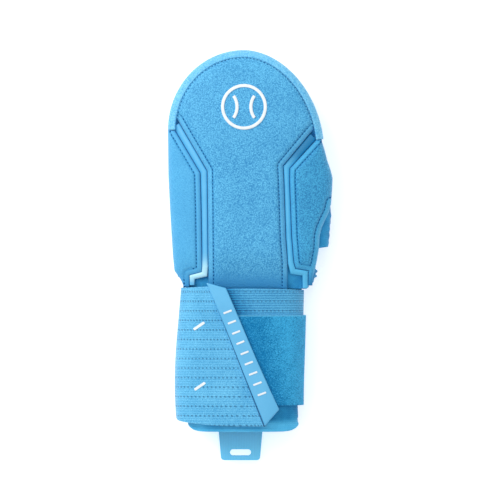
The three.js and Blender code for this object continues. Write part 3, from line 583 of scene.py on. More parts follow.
arc = np.sin(np.linspace(math.pi / 2, 0.55, 46)) ** (2 / 1.94)
tip_rows = tip_y - dome_right[2] + (dome_right[2] - plate_inset) * arc
neck_rows = rows_between(tip_rows[-1], plate_low, 1.5, [left_plate_line[1, 1], right_plate_line[1, 1]])
plate_rows = np.concatenate([tip_rows, neck_rows[1:]])
end_points = 34
plate_edge, plate_poles = outline(plate_rows, plate_left, plate_right, end_points, (24, 42), pointed=True)
seam_x = np.where(plate_edge[:, 0] < dome_tip_x, dome_x(dome_left, plate_edge[:, 1], plate_inset),
                  dome_x(dome_right, plate_edge[:, 1], plate_inset))
dome_part = (np.abs(plate_edge[:, 0] - seam_x) < 0.02) & (plate_edge[:, 1] > 32)
dome_part[0] = True
first_side = int(np.argmin(dome_part))
last_side = len(dome_part) - int(np.argmin(dome_part[::-1]))
corner = len(plate_rows)
left_sewn, end_line = plate_edge[first_side:corner], plate_edge[corner - 1:corner + end_points]
right_sewn = plate_edge[corner + end_points - 1:last_side]
seam_line = np.vstack([plate_edge[last_side - 1:], plate_edge[:first_side + 1]])
centre, centre_groove = plate("centre_plate_pad", plate_edge, plate_poles, body_top, plate_height,
                              [left_sewn, right_sewn], [seam_line], [end_line])
centre.data.materials.append(pad_blue)
seat(centre, "pad_fabric", "centre_plate")

# %% [markdown]
# ## The side panels
# Two narrower plates cover the hand's sides. The one on the thumb's side swings out over the thumb. One
# function makes both, because each is the strip between a channel's line and the hand's own outline.
# The little finger's pad is stitched along the channel alone, and the thumb's also along its low outside.

# %% Side panels
def wing(name, outer_table, inner, side, high, outer_sewn_below, low, fabric):
    outer = lambda y: side * straight_at(outer_table, 1, (y - wrist_y) / hand_length) * half_width
    line = lambda y: x_on_line(inner, y, True)
    rows = rows_between(high, low, 1.1, inner[:, 1])
    left, right = (outer, line) if side < 0 else (line, outer)
    steps = 14
    edge, poles = outline(rows, left, right, steps, (9, 9))
    count = len(rows)
    first, second = edge[:count], edge[count + steps - 1:2 * count + steps - 1]
    ends = [edge[count - 1:count + steps], np.vstack([edge[2 * count + steps - 2:], edge[:1]])]
    inside, outside = (second, first) if side < 0 else (first, second)
    low_outside = outside[outside[:, 1] < outer_sewn_below]
    sewn = [inside] + ([low_outside] if len(low_outside) > 1 else [])
    high_outside = outside[outside[:, 1] >= outer_sewn_below - 1]
    piece, groove = plate(name, edge, poles, body_top, plate_height, sewn, [], [*ends, high_outside])
    piece.data.materials.append(fabric)
    return piece, groove, sewn


nowhere = -1000
finger_wing, finger_groove, finger_sewn = wing("little_finger_pad", left_edge, left_wing_line, -1,
                                               rim_left_end_y - 0.1, nowhere, wrist_y - 1.9, pad_smooth)
seat(finger_wing, "pad_fabric", "little_finger_wing")
thumb_side, thumb_groove, thumb_sewn = wing("thumb_pad", right_edge, right_wing_line, 1,
                                            rim_right_end_y - 0.1, -22, wrist_y - 0.4, pad_shaded)
seat(thumb_side, "pad_fabric", "thumb_wing")

# %% [markdown]
# ## The dome's border
# Round the dome the cover is pressed thin and rolled over the edge. It is a strip along an arc, so the
# grid runs along the arc one way and over the strip's section the other. The grid's two ends are open,
# and one face closes each.

# %% Dome border
def dome_point(quarter, angle, inset):
    side, out, up, power = quarter
    x = dome_tip_x + side * (out - inset) * np.maximum(np.cos(angle), 0) ** (2 / power)
    return np.column_stack([x, tip_y - up + (up - inset) * np.maximum(np.sin(angle), 0) ** (2 / power)])


def close_ends(piece):
    shape = bmesh.new()
    shape.from_mesh(piece.data)
    bmesh.ops.holes_fill(shape, edges=[e for e in shape.edges if e.is_boundary], sides=0)
    bmesh.ops.recalc_face_normals(shape, faces=shape.faces)
    shape.to_mesh(piece.data)
    shape.free()


right_rise = (rim_right_end_y - tip_y + dome_right[2]) / dome_right[2]
rim_right_angle = math.asin(right_rise ** (dome_right[3] / 2))
rim_section = [(0, 0), (0, 0.3), (0.015, 0.44), (0.05, 0.56), (0.12, 0.68), (0.22, 0.79), (0.36, 0.88),
               (0.52, 0.95), (0.68, 0.985), (0.82, 0.99), (0.91, 0.975), (0.97, 0.945), (1, 0.9), (1, 0),
               (0, 0)]
rim_rise, past_border = 0.86, 5.4


def rim_place(u, v):
    section = np.array(rim_section)[np.round(v * (len(rim_section) - 1)).astype(int)]
    angle_right = mix(math.pi / 2, rim_right_angle, np.clip(u * 2 - 1, 0, 1))
    on_left = (u < 0.5)[:, None]

    def at(inset):
        return np.where(on_left, dome_point(dome_left, u * math.pi, inset),
                        dome_point(dome_right, angle_right, inset))

    flat = mix(at(0), at(plate_inset - 0.12), section[:, :1])
    z = body_top(flat[:, 0], flat[:, 1]) + section[:, 1] * rim_rise * plate_height(flat[:, 1])
    return np.column_stack([flat, z]), np.full(len(u), past_border)


rim = shaped_grid("dome_border", 260, len(rim_section) - 1, rim_place, flat=(0.29, 0.02))
close_ends(rim)
rim.data.materials.append(pad_border_highlight)
seat(rim, "pad_fabric", "dome_rim")

# %% [markdown]
# ## The palm plate
# The palm side is one thinner plate. It carries the mitt on the floor, so it is flat in the middle, and
# it rises a little at the finger tip. It is made as the others are, but its top looks down.

# %% Palm plate
palm_inset, palm_top = 2.5, 10
palm_high, palm_low = tip_y - palm_inset - 0.5, wrist_y + 10


def palm_side(quarter, table, y):
    beside = quarter[0] * (straight_at(table, 1, (y - wrist_y) / hand_length) * half_width - palm_inset)
    return np.where(y > tip_y - quarter[2], dome_x(quarter, np.minimum(y, palm_high), palm_inset), beside)


def palm_height(y):
    return (palm_top - 5 * ease(palm_high - 45, palm_high, y) ** 2) / side_profile[-1][1]


palm_tip_rows = tip_y - dome_right[2] + (palm_high - tip_y + dome_right[2]) * arc
palm_rows = np.concatenate([palm_tip_rows, rows_between(palm_tip_rows[-1], palm_low, 2)[1:]])
palm_edge, palm_poles = outline(palm_rows, lambda y: palm_side(dome_left, left_edge, y),
                                lambda y: palm_side(dome_right, right_edge, y), 40, (30, 46))
palm, palm_groove = plate("palm_pad", palm_edge, palm_poles, lambda x, y: np.full(len(x), float(palm_top)),
                          palm_height, flat_side=True)
palm.data.materials.append(pad_blue)
seat(palm, "pad_fabric", "palm_plate")

# %% [markdown]
# ## Stitches
# The thread shows as short raised dashes along the groove, a little under three millimetres apart. Each
# is a small ball drawn out along the seam. It has few faces, because there are hundreds.

# %% Stitches along a line
stitch_pitch = 2.9


def walk(line, pitch, closed=True):
    line = np.vstack([line, line[:1]]) if closed else line
    run = np.concatenate([[0], np.cumsum(np.linalg.norm(np.diff(line, axis=0), axis=1))])
    keep = np.concatenate([[True], np.diff(run) > 1e-6])
    at = np.arange(pitch / 2, run[-1], pitch)
    place = lambda s: np.column_stack([np.interp(s, run[keep], line[keep, k]) for k in range(2)])
    return place(at), place(at + 0.4) - place(at - 0.4)


def sew(shape, line, height, closed=True, keep=lambda p: True, long=1.0, thick=0.72):
    places, runs = walk(line, stitch_pitch, closed)
    made = 0
    for (x, y), (dx, dy) in zip(places, runs):
        if not keep((x, y)):
            continue
        turn = Matrix.Rotation(math.atan2(dy, dx), 4, "Z")
        scale = Matrix.Diagonal((long * MM, thick * MM, 0.3 * MM, 1))
        move = Matrix.Translation(Vector((x, y, float(height(x, y)))) * MM)
        bmesh.ops.create_uvsphere(shape, u_segments=6, v_segments=4, radius=1, matrix=move @ turn @ scale)
        made += 1
    return made


def to_lines(point, lines):
    return min(distance_to_line(np.array([point]), line)[0] for line in lines)


def in_groove(lines):
    return lambda p: groove_reach - 0.6 < to_lines(p, lines) < groove_reach + 0.5


def thread_z(share):
    return lambda x, y: body_top(x, y) + plate_height(y) * share


thread_shape, groove_z = bmesh.new(), thread_z(0.775)
stitch_count = sew(thread_shape, centre_groove, groove_z, keep=in_groove([left_sewn, right_sewn]))
stitch_count += sew(thread_shape, finger_groove, groove_z, keep=in_groove(finger_sewn))
stitch_count += sew(thread_shape, thumb_groove, groove_z, keep=in_groove(thumb_sewn))
seam_inset = plate_inset + 0.7
dome_seam = np.vstack([
    dome_point(dome_left, np.linspace(0.02, math.pi / 2, 200), seam_inset),
    dome_point(dome_right, np.linspace(math.pi / 2, rim_right_angle + 0.03, 200), seam_inset)])
stitch_count += sew(thread_shape, dome_seam, thread_z(0.885), closed=False,
                    keep=lambda p: to_lines(p, [seam_line]) < 1.2, long=0.85, thick=0.45)
stitch_count += sew(thread_shape, palm_groove, lambda x, y: palm_top - palm_height(y) * 0.75)
stitches = finish_mesh("seam_stitches", thread_shape)
print("stitches:", stitch_count)

# %% [markdown]
# ## Thread
# The thread is matt and much darker than the cloth, so that each stitch reads from far off. One noise
# gives its twist, in the colour and in the bump.

# %% Thread finish
thread = Finish("sewing_thread", {"Roughness": 0.8, "Specular IOR Level": 0.1})
twist = thread.noise(thread.place(), 0.0006, 1)
colour = thread.blend(twist, dye(4, 72, 124), dye(16, 96, 154))
stitches.data.materials.append(thread.set(colour, None, twist, 0.0001))
seat(stitches, "pad_fabric")

# %% [markdown]
# ## The soft body
# Under the plates is a soft stretch fabric bag that the hand goes into. It is closed at the finger tip
# and open at the wrist. It bulges at the thumb, where it ends in a hem, and it is gathered at the wrist.
# It is lofted: each section is a rounded box that fits the plates above and below, and the sections run
# from the tip to the wrist on the outside, then back up on the inside.

# %% A section of the soft body
fold_depth, fold_pitch, fold_length, bag_clear, bag_wall, bag_overhang = 1.1, 4.4, 18, 0.6, 1.8, 4
corner_steps = np.array([0, 0.03, 0.12, 0.25, 0.42, 0.62, 0.8, 1])


def onto_oval(size, points):
    x = (points[:, 0] - cuff_x) / np.where(points[:, 0] > cuff_x, size["right"], size["left"])
    z = (points[:, 1] - size["z"]) / size["depth"]
    reach = (np.abs(x) ** cuff_power + np.abs(z) ** cuff_power) ** (1 / cuff_power)
    return np.column_stack([cuff_x + (points[:, 0] - cuff_x) / reach,
                            size["z"] + (points[:, 1] - size["z"]) / reach])


def bag_section(y, wall):
    inside_tip = min(y, tip_y - bag_overhang - wall - 0.6)
    share = (y - wrist_y) / hand_length
    ends = []
    for quarter, table in ((dome_left, bag_left_side), (dome_right, bag_right_side)):
        if inside_tip > tip_y - quarter[2]:
            ends.append(float(dome_x(quarter, inside_tip, bag_overhang + wall)))
        else:
            ends.append(quarter[0] * (float(straight_at(table, 1, share)) * half_width - wall))
    left, right = ends
    flare = 1 - float(ease(wrist_y, wrist_y + 9, y))
    bottom = mix(palm_top + bag_clear, neck["z"] - neck["depth"], flare) + wall
    pull = 1 - float(ease(wrist_y + fold_length * 0.6, wrist_y + fold_length, y))
    wave = 2 * abs(math.sin(math.pi * (y - wrist_y) / fold_pitch)) ** 0.7 - 1
    fold = 0 if wall else fold_depth * pull * wave
    draw_in = 1 - float(ease(wrist_y, wrist_y + fold_length * 0.45, y))
    rounding = min(6, (right - left) / 4)
    between = np.linspace(left + rounding, right - rounding, 26)[1:-1]
    xs = np.concatenate([left + corner_steps * rounding, between, (right - corner_steps * rounding)[::-1]])
    edge = np.minimum(np.minimum(xs - left, right - xs), rounding) / rounding
    top = body_top(xs, y) - bag_clear - wall - rounding * (1 - np.sqrt(1 - (1 - edge) ** 2))
    down = np.linspace(0, 1, 13)[1:-1]
    low_round = rounding / 2
    swell = np.sin(np.pi * down) * (0.75 + 0.25 * np.sin(y * 1.9 + down * 9))
    side_right = np.column_stack([right + swell * fold * 1.3, mix(top[-1], bottom + low_round, down)])
    side_left = np.column_stack([left - swell * fold, mix(top[0], bottom + low_round, down)])[::-1]
    curve = np.array([0, 0.12, 0.3, 0.6, 1])
    drop = low_round * (1 - np.sqrt(1 - (1 - curve) ** 2))
    corner_right = np.column_stack([right - curve * low_round, bottom + drop])
    corner_left = np.column_stack([left + curve * low_round, bottom + drop])[::-1]
    floor_x = np.linspace(right - low_round, left + low_round, 16)[1:-1]
    floor = np.column_stack([floor_x, np.full(14, bottom)])
    ring = np.vstack([np.column_stack([xs, top]), side_right, corner_right, floor, corner_left, side_left])
    puff = (7.5 if wall == 0 else 6) * float(ease(wrist_y - 3.4, wrist_y - 1.6, y) * 0.4 + 0.6)
    drawn = onto_oval({"left": neck["left"] - wall + puff * 0.25, "right": neck["right"] - wall + puff,
                       "depth": neck["depth"] - wall, "z": neck["z"]}, ring)
    hold = draw_in * (1 - 0.85 * ease(20, 29, ring[:, 1]))
    return mix(ring, drawn, hold[:, None])


print("points in a section:", len(bag_section(0, 0)))

# %% [markdown]
# ## The body from its sections
# The sections lie closer together where the shape changes fast: at the tip, at the thumb's hem and in
# the gathers. The grid gets a column for each, and its two end columns shrink to a point, which closes
# the tip outside and inside.

# %% The soft body
bag_tip = tip_y - bag_overhang - 0.6
tip_steps = np.array([0, 0.15, 0.4, 0.8, 1.4, 2.2, 3.2, 4.5, 6, 8, 10.5, 13.5, 17, 21, 26, 31])
fold_rows = np.arange(wrist_y - 3.0, wrist_y + fold_length, 0.5)
hem_rows = wrist_y + hand_length * np.array([0.153, 0.155, 0.1588, 0.1625, 0.166])
body_rows = np.unique(np.concatenate([np.arange(wrist_y + fold_length, bag_tip - 33, 2.2), hem_rows]))
outside_rows = np.concatenate([bag_tip - tip_steps, body_rows[::-1], fold_rows[::-1]])
inside_rows = np.concatenate([fold_rows[::4], body_rows[::2], (bag_tip - bag_wall - tip_steps)[::-1]])
sections = [np.column_stack([s[:, 0], np.full(len(s), y), s[:, 1]]) for wall, rows in
            ((0, outside_rows), (bag_wall, inside_rows)) for y in rows for s in [bag_section(y, wall)]]
middle = lambda ring: np.repeat(ring.mean(0)[None], len(ring), 0)
sections = np.array([middle(sections[0]), *sections, middle(sections[-1])])


def bag_place(u, v):
    i = np.round(u * (len(sections) - 1)).astype(int)
    j = np.round(v * sections.shape[1]).astype(int) % sections.shape[1]
    points = sections[i, j].copy()
    x, y, z = points.T
    outer = (i > 1) & (i <= len(outside_rows)) & (z > 13)
    near = 1 - ease(8, 40, np.minimum(np.abs(y + 75), np.abs(y + 40)))
    crease = np.sin(x * 0.35 + y * 0.55) * np.sin(z * 0.5 + y * 0.21) * 0.35
    side = np.sign(x - dome_tip_x) * (np.abs(x) > 45)
    points[:, 0] += np.where(outer, side * crease * (0.4 + near), 0)
    return points


bag = shaped_grid("soft_body", len(sections) - 1, sections.shape[1], bag_place)
seat(bag, "stretch_fabric", "mitt_bag")

# %% [markdown]
# ## Stretch fabric
# The body's fabric is a fine jersey, matt and a little darker than the plates. Its knit has rows of small
# loops half a millimetre wide, which two crossed waves give. Larger noise gives soft creases.

# %% The stretch fabric's finish
def jersey_finish(name, light, dark, rib_pitch=None):
    jersey = Finish(name, {"Sheen Weight": 0.12, "Sheen Roughness": 0.4, "Specular IOR Level": 0.2})
    place = jersey.place()
    x, y, z = jersey.parts(place)
    cloud = jersey.noise(place, 0.012, 3)
    fuzz = jersey.noise(place, 0.0007, 2)
    knit = (x + z * 0.6).wave(0.0011) * y.wave(0.0014) * 0.5 + 0.5
    height = knit * 0.4 + fuzz * 0.5 + cloud * 2.5
    shade = (knit - 0.5) * 0.25 + (fuzz - 0.5) * 0.5 + cloud
    if rib_pitch is not None:
        rib = y.wave(rib_pitch) * 0.5 + 0.5
        height = height * 0.6 + rib * 0.35
        shade = shade * 0.85 + rib * 0.15
        hem = y.between(-0.194, -0.2)
        light = jersey.blend(hem, light, dye(98, 204, 250))
        dark = jersey.blend(hem, dark, dye(60, 166, 222))
    colour = jersey.blend(shade.between(0.05, 0.95), dark, light)
    return jersey.set(colour, 0.8 + (fuzz - 0.5) * 0.2, height, 0.0003)


bag.data.materials.append(jersey_finish("stretch_jersey", dye(62, 172, 226), dye(20, 112, 172)))
print("soft body:", len(bag.data.polygons), "faces")

# %% [markdown]
# ## The moulded strips
# In each channel lies a moulded strip that ends in a foot at the wrist. Its section is a low rounded bar.
# A curve object with a bevel would round its corners, but these are sharp mitres. So the grid runs
# between the channel's two side lines one way and over the bar's section the other.

# %% Moulded strips
strip_section = [(0, 0), (0, 0.58), (0.03, 0.75), (0.09, 0.86), (0.2, 0.93), (0.35, 0.98), (0.5, 0.99),
                 (0.65, 0.98), (0.8, 0.93), (0.91, 0.86), (0.97, 0.75), (1, 0.58), (1, 0), (0, 0)]


strip_clear, strip_top = 0.22, 4.6


def resample(line, shares):
    marks = np.linspace(0, 1, len(line))
    return np.column_stack([np.interp(shares, marks, line[:, k]) for k in range(2)])


def strip(name, rows, start):
    one, other = channel_line(rows, 0.5, -strip_clear), channel_line(rows, -0.5, -strip_clear)
    for line in (one, other):
        line[0] = mix(line[0], line[1], start)
    parts = []
    for k in range(len(one) - 1):
        count = max(2, int(np.linalg.norm(one[k + 1] - one[k]) / 0.9))
        parts.append(k + np.arange(count) / count)
    at = np.append(np.concatenate(parts), len(one) - 1) / (len(one) - 1)
    left, right = resample(one, at), resample(other, at)

    def place(u, v):
        i = np.round(u * (len(at) - 1)).astype(int)
        section = np.array(strip_section)[np.round(v * (len(strip_section) - 1)).astype(int)]
        flat = mix(left[i], right[i], section[:, :1])
        high = np.minimum(strip_top, plate_height(flat[:, 1]) * 0.8)
        return np.column_stack([flat, body_top(flat[:, 0], flat[:, 1]) + section[:, 1] * high])

    piece = shaped_grid(name, len(at) - 1, len(strip_section) - 1, place)
    close_ends(piece)
    sharpen(piece, 50)
    return piece


finger_strip = strip("little_finger_strip", left_channel + left_foot, 0.045)
seat(finger_strip, "moulded_pale", "little_finger_trim")
thumb_strip = strip("thumb_strip", right_channel + right_foot + [(0.668, -0.012, 0.88)], 0.03)
seat(thumb_strip, "moulded_blue", "thumb_trim")

# %% [markdown]
# ## Moulded finishes
# A moulded strip is smooth rubber with a thin gloss. Light catches its top. On the little finger's side
# it turns paler towards the foot, and on the thumb's side its top end is darkened as painted shade, where
# that channel lies deep. A very fine noise stops it from looking like glass. The tab and the pull loop
# share this recipe further on.

# %% The moulded finishes
def moulded_finish(name, base, second, coat, foot=None, ribs=None, shade=None):
    rubber = Finish(name, {"Specular IOR Level": 0.5, "Coat Weight": coat, "Coat Roughness": 0.25})
    place = rubber.place()
    x, y, _ = rubber.parts(place)
    cloud = rubber.noise(place, 0.014, 2)
    fine = rubber.noise(place, 0.0004, 1)
    colour = rubber.blend(cloud.between(0.25, 0.75), base, second)
    if foot is not None:
        pale = y.between(-0.052, -0.0775)
        colour = rubber.blend(pale * pale * pale * y.between(-0.0885, -0.0795), colour, foot)
    # Painted shade: the thumb strip's top end, deep in its channel, is darkened.
    if shade is not None:
        colour = rubber.blend(y.between(0.004, 0.018), colour, shade)
    height = fine
    if ribs is not None:
        rib = x.wave(ribs) * 0.5 + 0.5
        height = fine * 0.4 + rib * 0.5
        # Painted shade: the hollows between the ribs are a little darker.
        colour = rubber.blend((1 - rib) * 0.06, colour, dye(52, 150, 202))
    return rubber.set(colour, 0.42 + (cloud - 0.5) * 0.15, height, 0.00012)


finger_strip.data.materials.append(moulded_finish(
    "moulded_pale_strip", dye(84, 180, 228), dye(92, 186, 234), 0.12, foot=dye(186, 238, 255)))
thumb_strip.data.materials.append(moulded_finish(
    "moulded_mid_strip", dye(74, 180, 230), dye(84, 188, 236), 0.08, shade=dye(18, 130, 184)))
print("moulded strips finished")

# %% [markdown]
# ## The cuff's section
# The wrist is wider than it is deep. Its section is a rounded oval whose two halves have their own
# widths. A point on it is given by a turn, and a layer of the strap lies a set distance outside it.

# %% Points round the cuff
def cuff_size(y, stand_off):
    share = (wrist_y - np.asarray(y, float)) / cuff_length
    off = smooth_at(cuff_table, 3, share) if stand_off else 0
    left = cuff_half_width * (smooth_at(cuff_table, 1, share) + off)
    return left, cuff_half_width * smooth_at(cuff_table, 2, share), cuff_half_depth, cuff_z


def on_oval(size, turn, away):
    left, right, depth, z = size
    power = 2 / cuff_power

    def at(t):
        c, s = np.cos(t), np.sin(t)
        return (cuff_x + np.sign(c) * np.where(c > 0, right, left) * np.abs(c) ** power,
                z + np.sign(s) * depth * np.abs(s) ** power)

    (x, high), (x1, z1), (x0, z0) = at(turn), at(turn + 0.01), at(turn - 0.01)
    long = np.hypot(x1 - x0, z1 - z0)
    return x + (z1 - z0) / long * away, high - (x1 - x0) / long * away


def turn_at(x, y):
    left, right, _, _ = cuff_size(y, True)
    share = np.minimum(np.abs(x) / np.where(x > 0, right, left), 1)
    return np.arccos(np.sign(x) * share ** (cuff_power / 2))


def tab_left_x(share):
    span = (share - tab_top["left_at"]) / (tab_low["left_at"] - tab_top["left_at"])
    return cuff_half_width * mix(tab_top["left"], tab_low["left"], span)


print("turn where the strap starts:", round(float(turn_at(strap_start_x - cuff_x, -140)), 2))

# %% [markdown]
# ## The sleeve
# Under the strap the body runs on as a knitted sleeve. It is a tube with a wall: down the outside, round
# the hem's lip, and back up the inside. The hem is rolled, so its lip is round.

# %% Wrist sleeve
neck_start = wrist_y - sleeve_start + 0.1
lip_y = hem_y + 1.2
outer_ys = np.concatenate([
    neck_start - np.array([0, 2.2, 4.5]), np.arange(neck_start - 6.5, hem_y + 14, -1.8),
    np.arange(hem_y + 13, lip_y, -0.9), [lip_y]])
lip = [(hem_y + 0.55, -0.12), (hem_y + 0.15, -0.45), (hem_y, -0.9), (hem_y, -2.3), (hem_y + 0.15, -2.75),
       (hem_y + 0.55, -3.08)]
inner_ys = [*outer_ys[::-3], neck_start]
path = np.array([*[(y, 0) for y in outer_ys], *lip, *[(y, -sleeve_wall) for y in inner_ys]])
around = 180


def sleeve_place(u, v):
    row = np.round(v * len(path)).astype(int) % len(path)
    y, away = path[row].T
    turn = u * 2 * np.pi
    share = ease(neck_hold, neck_length, neck_start - y)
    start = (neck["left"], neck["right"] + 2.2, neck["depth"], neck["z"])
    size = [mix(narrow, full, share) for narrow, full in zip(start, cuff_size(y, False))]
    roll = 0.55 * (1 - ease(1.2, 2.6, np.abs(y - (hem_y + 4.6)))) * -1 * (away > -0.1)
    x, high = on_oval(size, turn, away + roll)
    low = 1 - ease(hem_y, neck_start - neck_length, y)
    return np.column_stack([x, y + hem_rise * np.abs(np.cos(turn)) ** 9 * low, high])


sleeve = shaped_grid("wrist_sleeve_knit", around, len(path), sleeve_place, flat=(0.24, 0.12))
sleeve.data.materials.append(jersey_finish("ribbed_knit", dye(48, 160, 212), dye(12, 106, 164), 0.0016))
seat(sleeve, "stretch_fabric", "wrist_sleeve")

# %% [markdown]
# ## The strap
# A wide elastic strap starts on top, at the little finger's side. It runs round the thumb side, under the
# wrist, and over its own start, and it ends under the tab. It is one flat strip laid on the cuff's oval.
# The Solidify modifier gives it its thickness, and a small Bevel rounds its cut edges.

# %% Wrist strap
def strap_place(u, v):
    rough = mix(tab_top["left_at"], tab_low["left_at"], v)
    rough_y = wrist_y - rough * cuff_length
    start = turn_at(np.full(len(u), strap_start_x - cuff_x, float), rough_y)
    end = turn_at(tab_left_x(rough) + strap_tuck * (1 - 0.7 * ease(0.6, 1, v)), rough_y) - 2 * np.pi
    turn = mix(start, end, u)
    share = mix(smooth_at(strap_edges, 1, -turn), smooth_at(strap_edges, 2, -turn), v)
    y = wrist_y - share * cuff_length
    climb = ease(0, strap_lift, start - 2 * np.pi + strap_lift * 1.4 - turn)
    x, z = on_oval(cuff_size(y, True), turn, mix(strap_away, strap_over, climb) + strap_thickness / 2)
    to_tab = np.where(u > 0.7, tab_left_x((wrist_y - y) / cuff_length) + cuff_x - x, 99)
    return np.column_stack([x, y, z]), to_tab


def cloth_area(piece):
    return sum(face.area for face in piece.data.polygons)


def thicken(piece, thickness, bevel=0.0004):
    solid = piece.modifiers.new("thickness", "SOLIDIFY")
    solid.thickness, solid.offset, solid.use_even_offset = thickness * MM, 0, True
    edge = piece.modifiers.new("cut edges", "BEVEL")
    edge.width, edge.segments, edge.limit_method, edge.angle_limit = bevel, 3, "ANGLE", math.radians(60)


line, _ = strap_place(np.linspace(0, 1, 341), np.full(341, 0.5))
wound = np.concatenate([[0], np.cumsum(np.linalg.norm(np.diff(line, axis=0), axis=1))]) * MM
strap = shaped_grid("elastic_strap", 340, 30, strap_place, flat=(wound, 0.105))
strap_area = cloth_area(strap)
print("strap cloth:", round(strap_area * 1e4), "square centimetres")
thicken(strap, strap_thickness)
strap_area / 0.105
seat(strap, "elastic", "wrist_strap")

# %% [markdown]
# ## Elastic webbing
# The webbing has fine ribs along its length, and level rows of small breathing holes, 7.6 millimetres
# apart, each row set off from the next by half a step. The holes are shallow, so they are made in the
# finish: a mask darkens them and lowers them in the bump. Object coordinates give the rows, which keeps
# them level, and the UV map gives the steps, because it holds the length along the strap in metres.
# The layer underneath is darker, partly in its own tone and partly as painted shade. Beside the tab it is
# darkest, as painted shade, and the strap's end has a painted shadow line along the tab's edge.

# %% The webbing's finish
webbing = Finish("ribbed_elastic", {"Sheen Weight": 0.2, "Sheen Roughness": 0.45, "Specular IOR Level": 0.3})
flat = webbing.flat()
along, _, _ = webbing.parts(flat)
_, down, _ = webbing.parts(webbing.place())
rib = down.wave(0.00196) * 0.5 + 0.5
cross = along.wave(0.0013) * 0.5 + 0.5
row_step, hole_step = 0.0076, 0.0029
row = (0.0016 - down) / row_step
shift = (row.floor() * 0.5).fract()
hole_x = ((along / hole_step + shift).fract() - 0.5) * hole_step
hole_y = (row.fract() - 0.5) * row_step
gap = (hole_x * hole_x + hole_y * hole_y) ** 0.5
hole = 1 - gap.between(0.0003, 0.0009)
fuzz = webbing.noise(webbing.place(), 0.0008, 2, 0.6)
cloud = webbing.noise(webbing.place(), 0.02, 2)
# The under layer is darker, partly in its own tone and partly as painted shade; beside the tab the darkening
# is painted shade.
under = 1 - along.between(0.10, 0.11)
near_tab_shade = 1 - along.between(0.043, 0.06)
rib_share = 0.2 + under * 0.35 + near_tab_shade * 0.3
shade = 0.42 + (rib - 0.5) * rib_share + (fuzz - 0.5) * 1.5 + (cloud - 0.5) * 0.5 + cross * 0.08
shade = shade.least(1).most(0)
deep = webbing.blend(under * (0.45 + near_tab_shade * 0.55), dye(48, 146, 202), dye(0, 88, 148))
pale = webbing.blend(under * (0.42 + near_tab_shade * 0.58), dye(126, 214, 254), dye(10, 154, 210))
colour = webbing.blend(shade, deep, pale)
colour = webbing.blend(hole * (0.55 - under * 0.3), colour, dye(20, 96, 152))
# Painted shadow: a dark line on the strap where it meets the tab's edge.
tab_gap_shadow = 1 - abs(webbing.mark("edge") - 0.2).between(0.3, 0.8)
colour = webbing.blend(tab_gap_shadow * 0.8, colour, dye(10, 70, 120))
height = rib * 0.6 + fuzz * 0.6 + cross * 0.2 - hole * 1.6
strap.data.materials.append(webbing.set(colour, 0.72 + (fuzz - 0.5) * 0.2, height, 0.0003))
print("webbing finish:", len(webbing.tree.nodes), "nodes")

# %% [markdown]
# ## The fleece panel
# The tab's hooks hold on a panel of brushed fleece. It lies on the strap beside the tab. Its pile is
# soft and mottled, so it is the darkest and the least glossy cloth on the mitt.

# %% Fleece panel
loop_top, loop_low, loop_end = 0.205, 0.82, -2.0
mean_reach = 42


def fleece_place(u, v):
    share = mix(loop_top, loop_low, v)
    y = wrist_y - share * cuff_length
    start = turn_at(tab_left_x(share) + loop_tuck, y)
    turn = mix(start, loop_end, u)
    soft = np.sin(u * 173 + v * 41) * np.sin(v * 97 - u * 31) * 0.12
    x, z = on_oval(cuff_size(y, True), turn, loop_away + loop_thickness / 2 + soft)
    return np.column_stack([x, y, z]), (start - turn) * mean_reach


fleece = shaped_grid("fleece_panel", 150, 60, fleece_place, flat=(0.11, 0.072))
fleece_area = cloth_area(fleece)
thicken(fleece, loop_thickness - 0.25, 0.0005)
fleece_area / 0.072
seat(fleece, "fleece", "loop_panel")

# %% [markdown]
# ## Brushed fleece
# Fleece is brushed until its loops stand up, so it has almost no gloss, and tufts of about a millimetre
# catch the light. Hair particles would show them, but they would not survive as a mesh. Two noises give
# the tufts and the clumps, and the cut edge at the top is paler, where light comes through the pile.
# Near the tab the pile is darker, as painted shade of the tab.

# %% The fleece's finish
pile = Finish("brushed_fleece", {"Sheen Weight": 0.08, "Sheen Roughness": 0.6, "Specular IOR Level": 0.1,
                                 "Roughness": 0.95})
place = pile.place()
tuft = pile.noise(place, 0.0009, 3, 0.6)
clump = pile.noise(place, 0.007, 2, 0.5)
_, down, _ = pile.parts(pile.flat())
# Painted shade: the pile is darkest at the tab's edge and lightens from 6 to 34 mm away from it.
clear = pile.mark("edge").between(6, 34)
shade = ((tuft - 0.5) * 3.4 + (clump - 0.5) * 0.6 + 0.1 + clear * 0.6).least(1).most(0)
colour = pile.blend(shade, dye(4, 120, 178), dye(66, 184, 238))
colour = pile.blend((1 - down.between(0.0004, 0.0014)) * 0.6, colour, dye(110, 200, 240))
fleece.data.materials.append(pile.set(colour, None, tuft + clump * 0.6, 0.0009))
print("fleece finish:", len(pile.tree.nodes), "nodes")

# %% [markdown]
# ## The tab
# The strap's end is held in a moulded tab, set on the diagonal. It is a flat bar with bevelled edges that
# follows the cuff's curve, so it is laid on the cuff's oval as the strap is, and then thickened.

# %% Tab
def tab_point(along, across, away):
    along_side = {key: mix(tab_top[key], tab_low[key], along) for key in tab_top}
    x = cuff_half_width * mix(along_side["left"], along_side["right"], across)
    y = wrist_y - mix(along_side["left_at"], along_side["right_at"], across) * cuff_length
    px, pz = on_oval(cuff_size(y, True), turn_at(x, y), away)
    return np.column_stack([px, y, pz])


tab = shaped_grid("strap_tab_bar", 80, 14, lambda u, v: tab_point(u, v, tab_away + tab_thickness / 2),
                  flat=(0.12, 0.016))
thicken(tab, tab_thickness, 0.0009)
seat(tab, "moulded_blue", "strap_tab")
tab.data.materials.append(moulded_finish("satin_tab", dye(84, 177, 226), dye(92, 184, 232), 0.15))

# %% [markdown]
# ## Raised bars
# A row of plain raised bars along the tab gives the fingers a grip, and two longer ones are printed on
# the strap. All share one shape: a box whose upright and top edges are bevelled. Each is copied, scaled
# in code and bent on the cuff's oval, so that none floats or sinks in where the wrist curves.

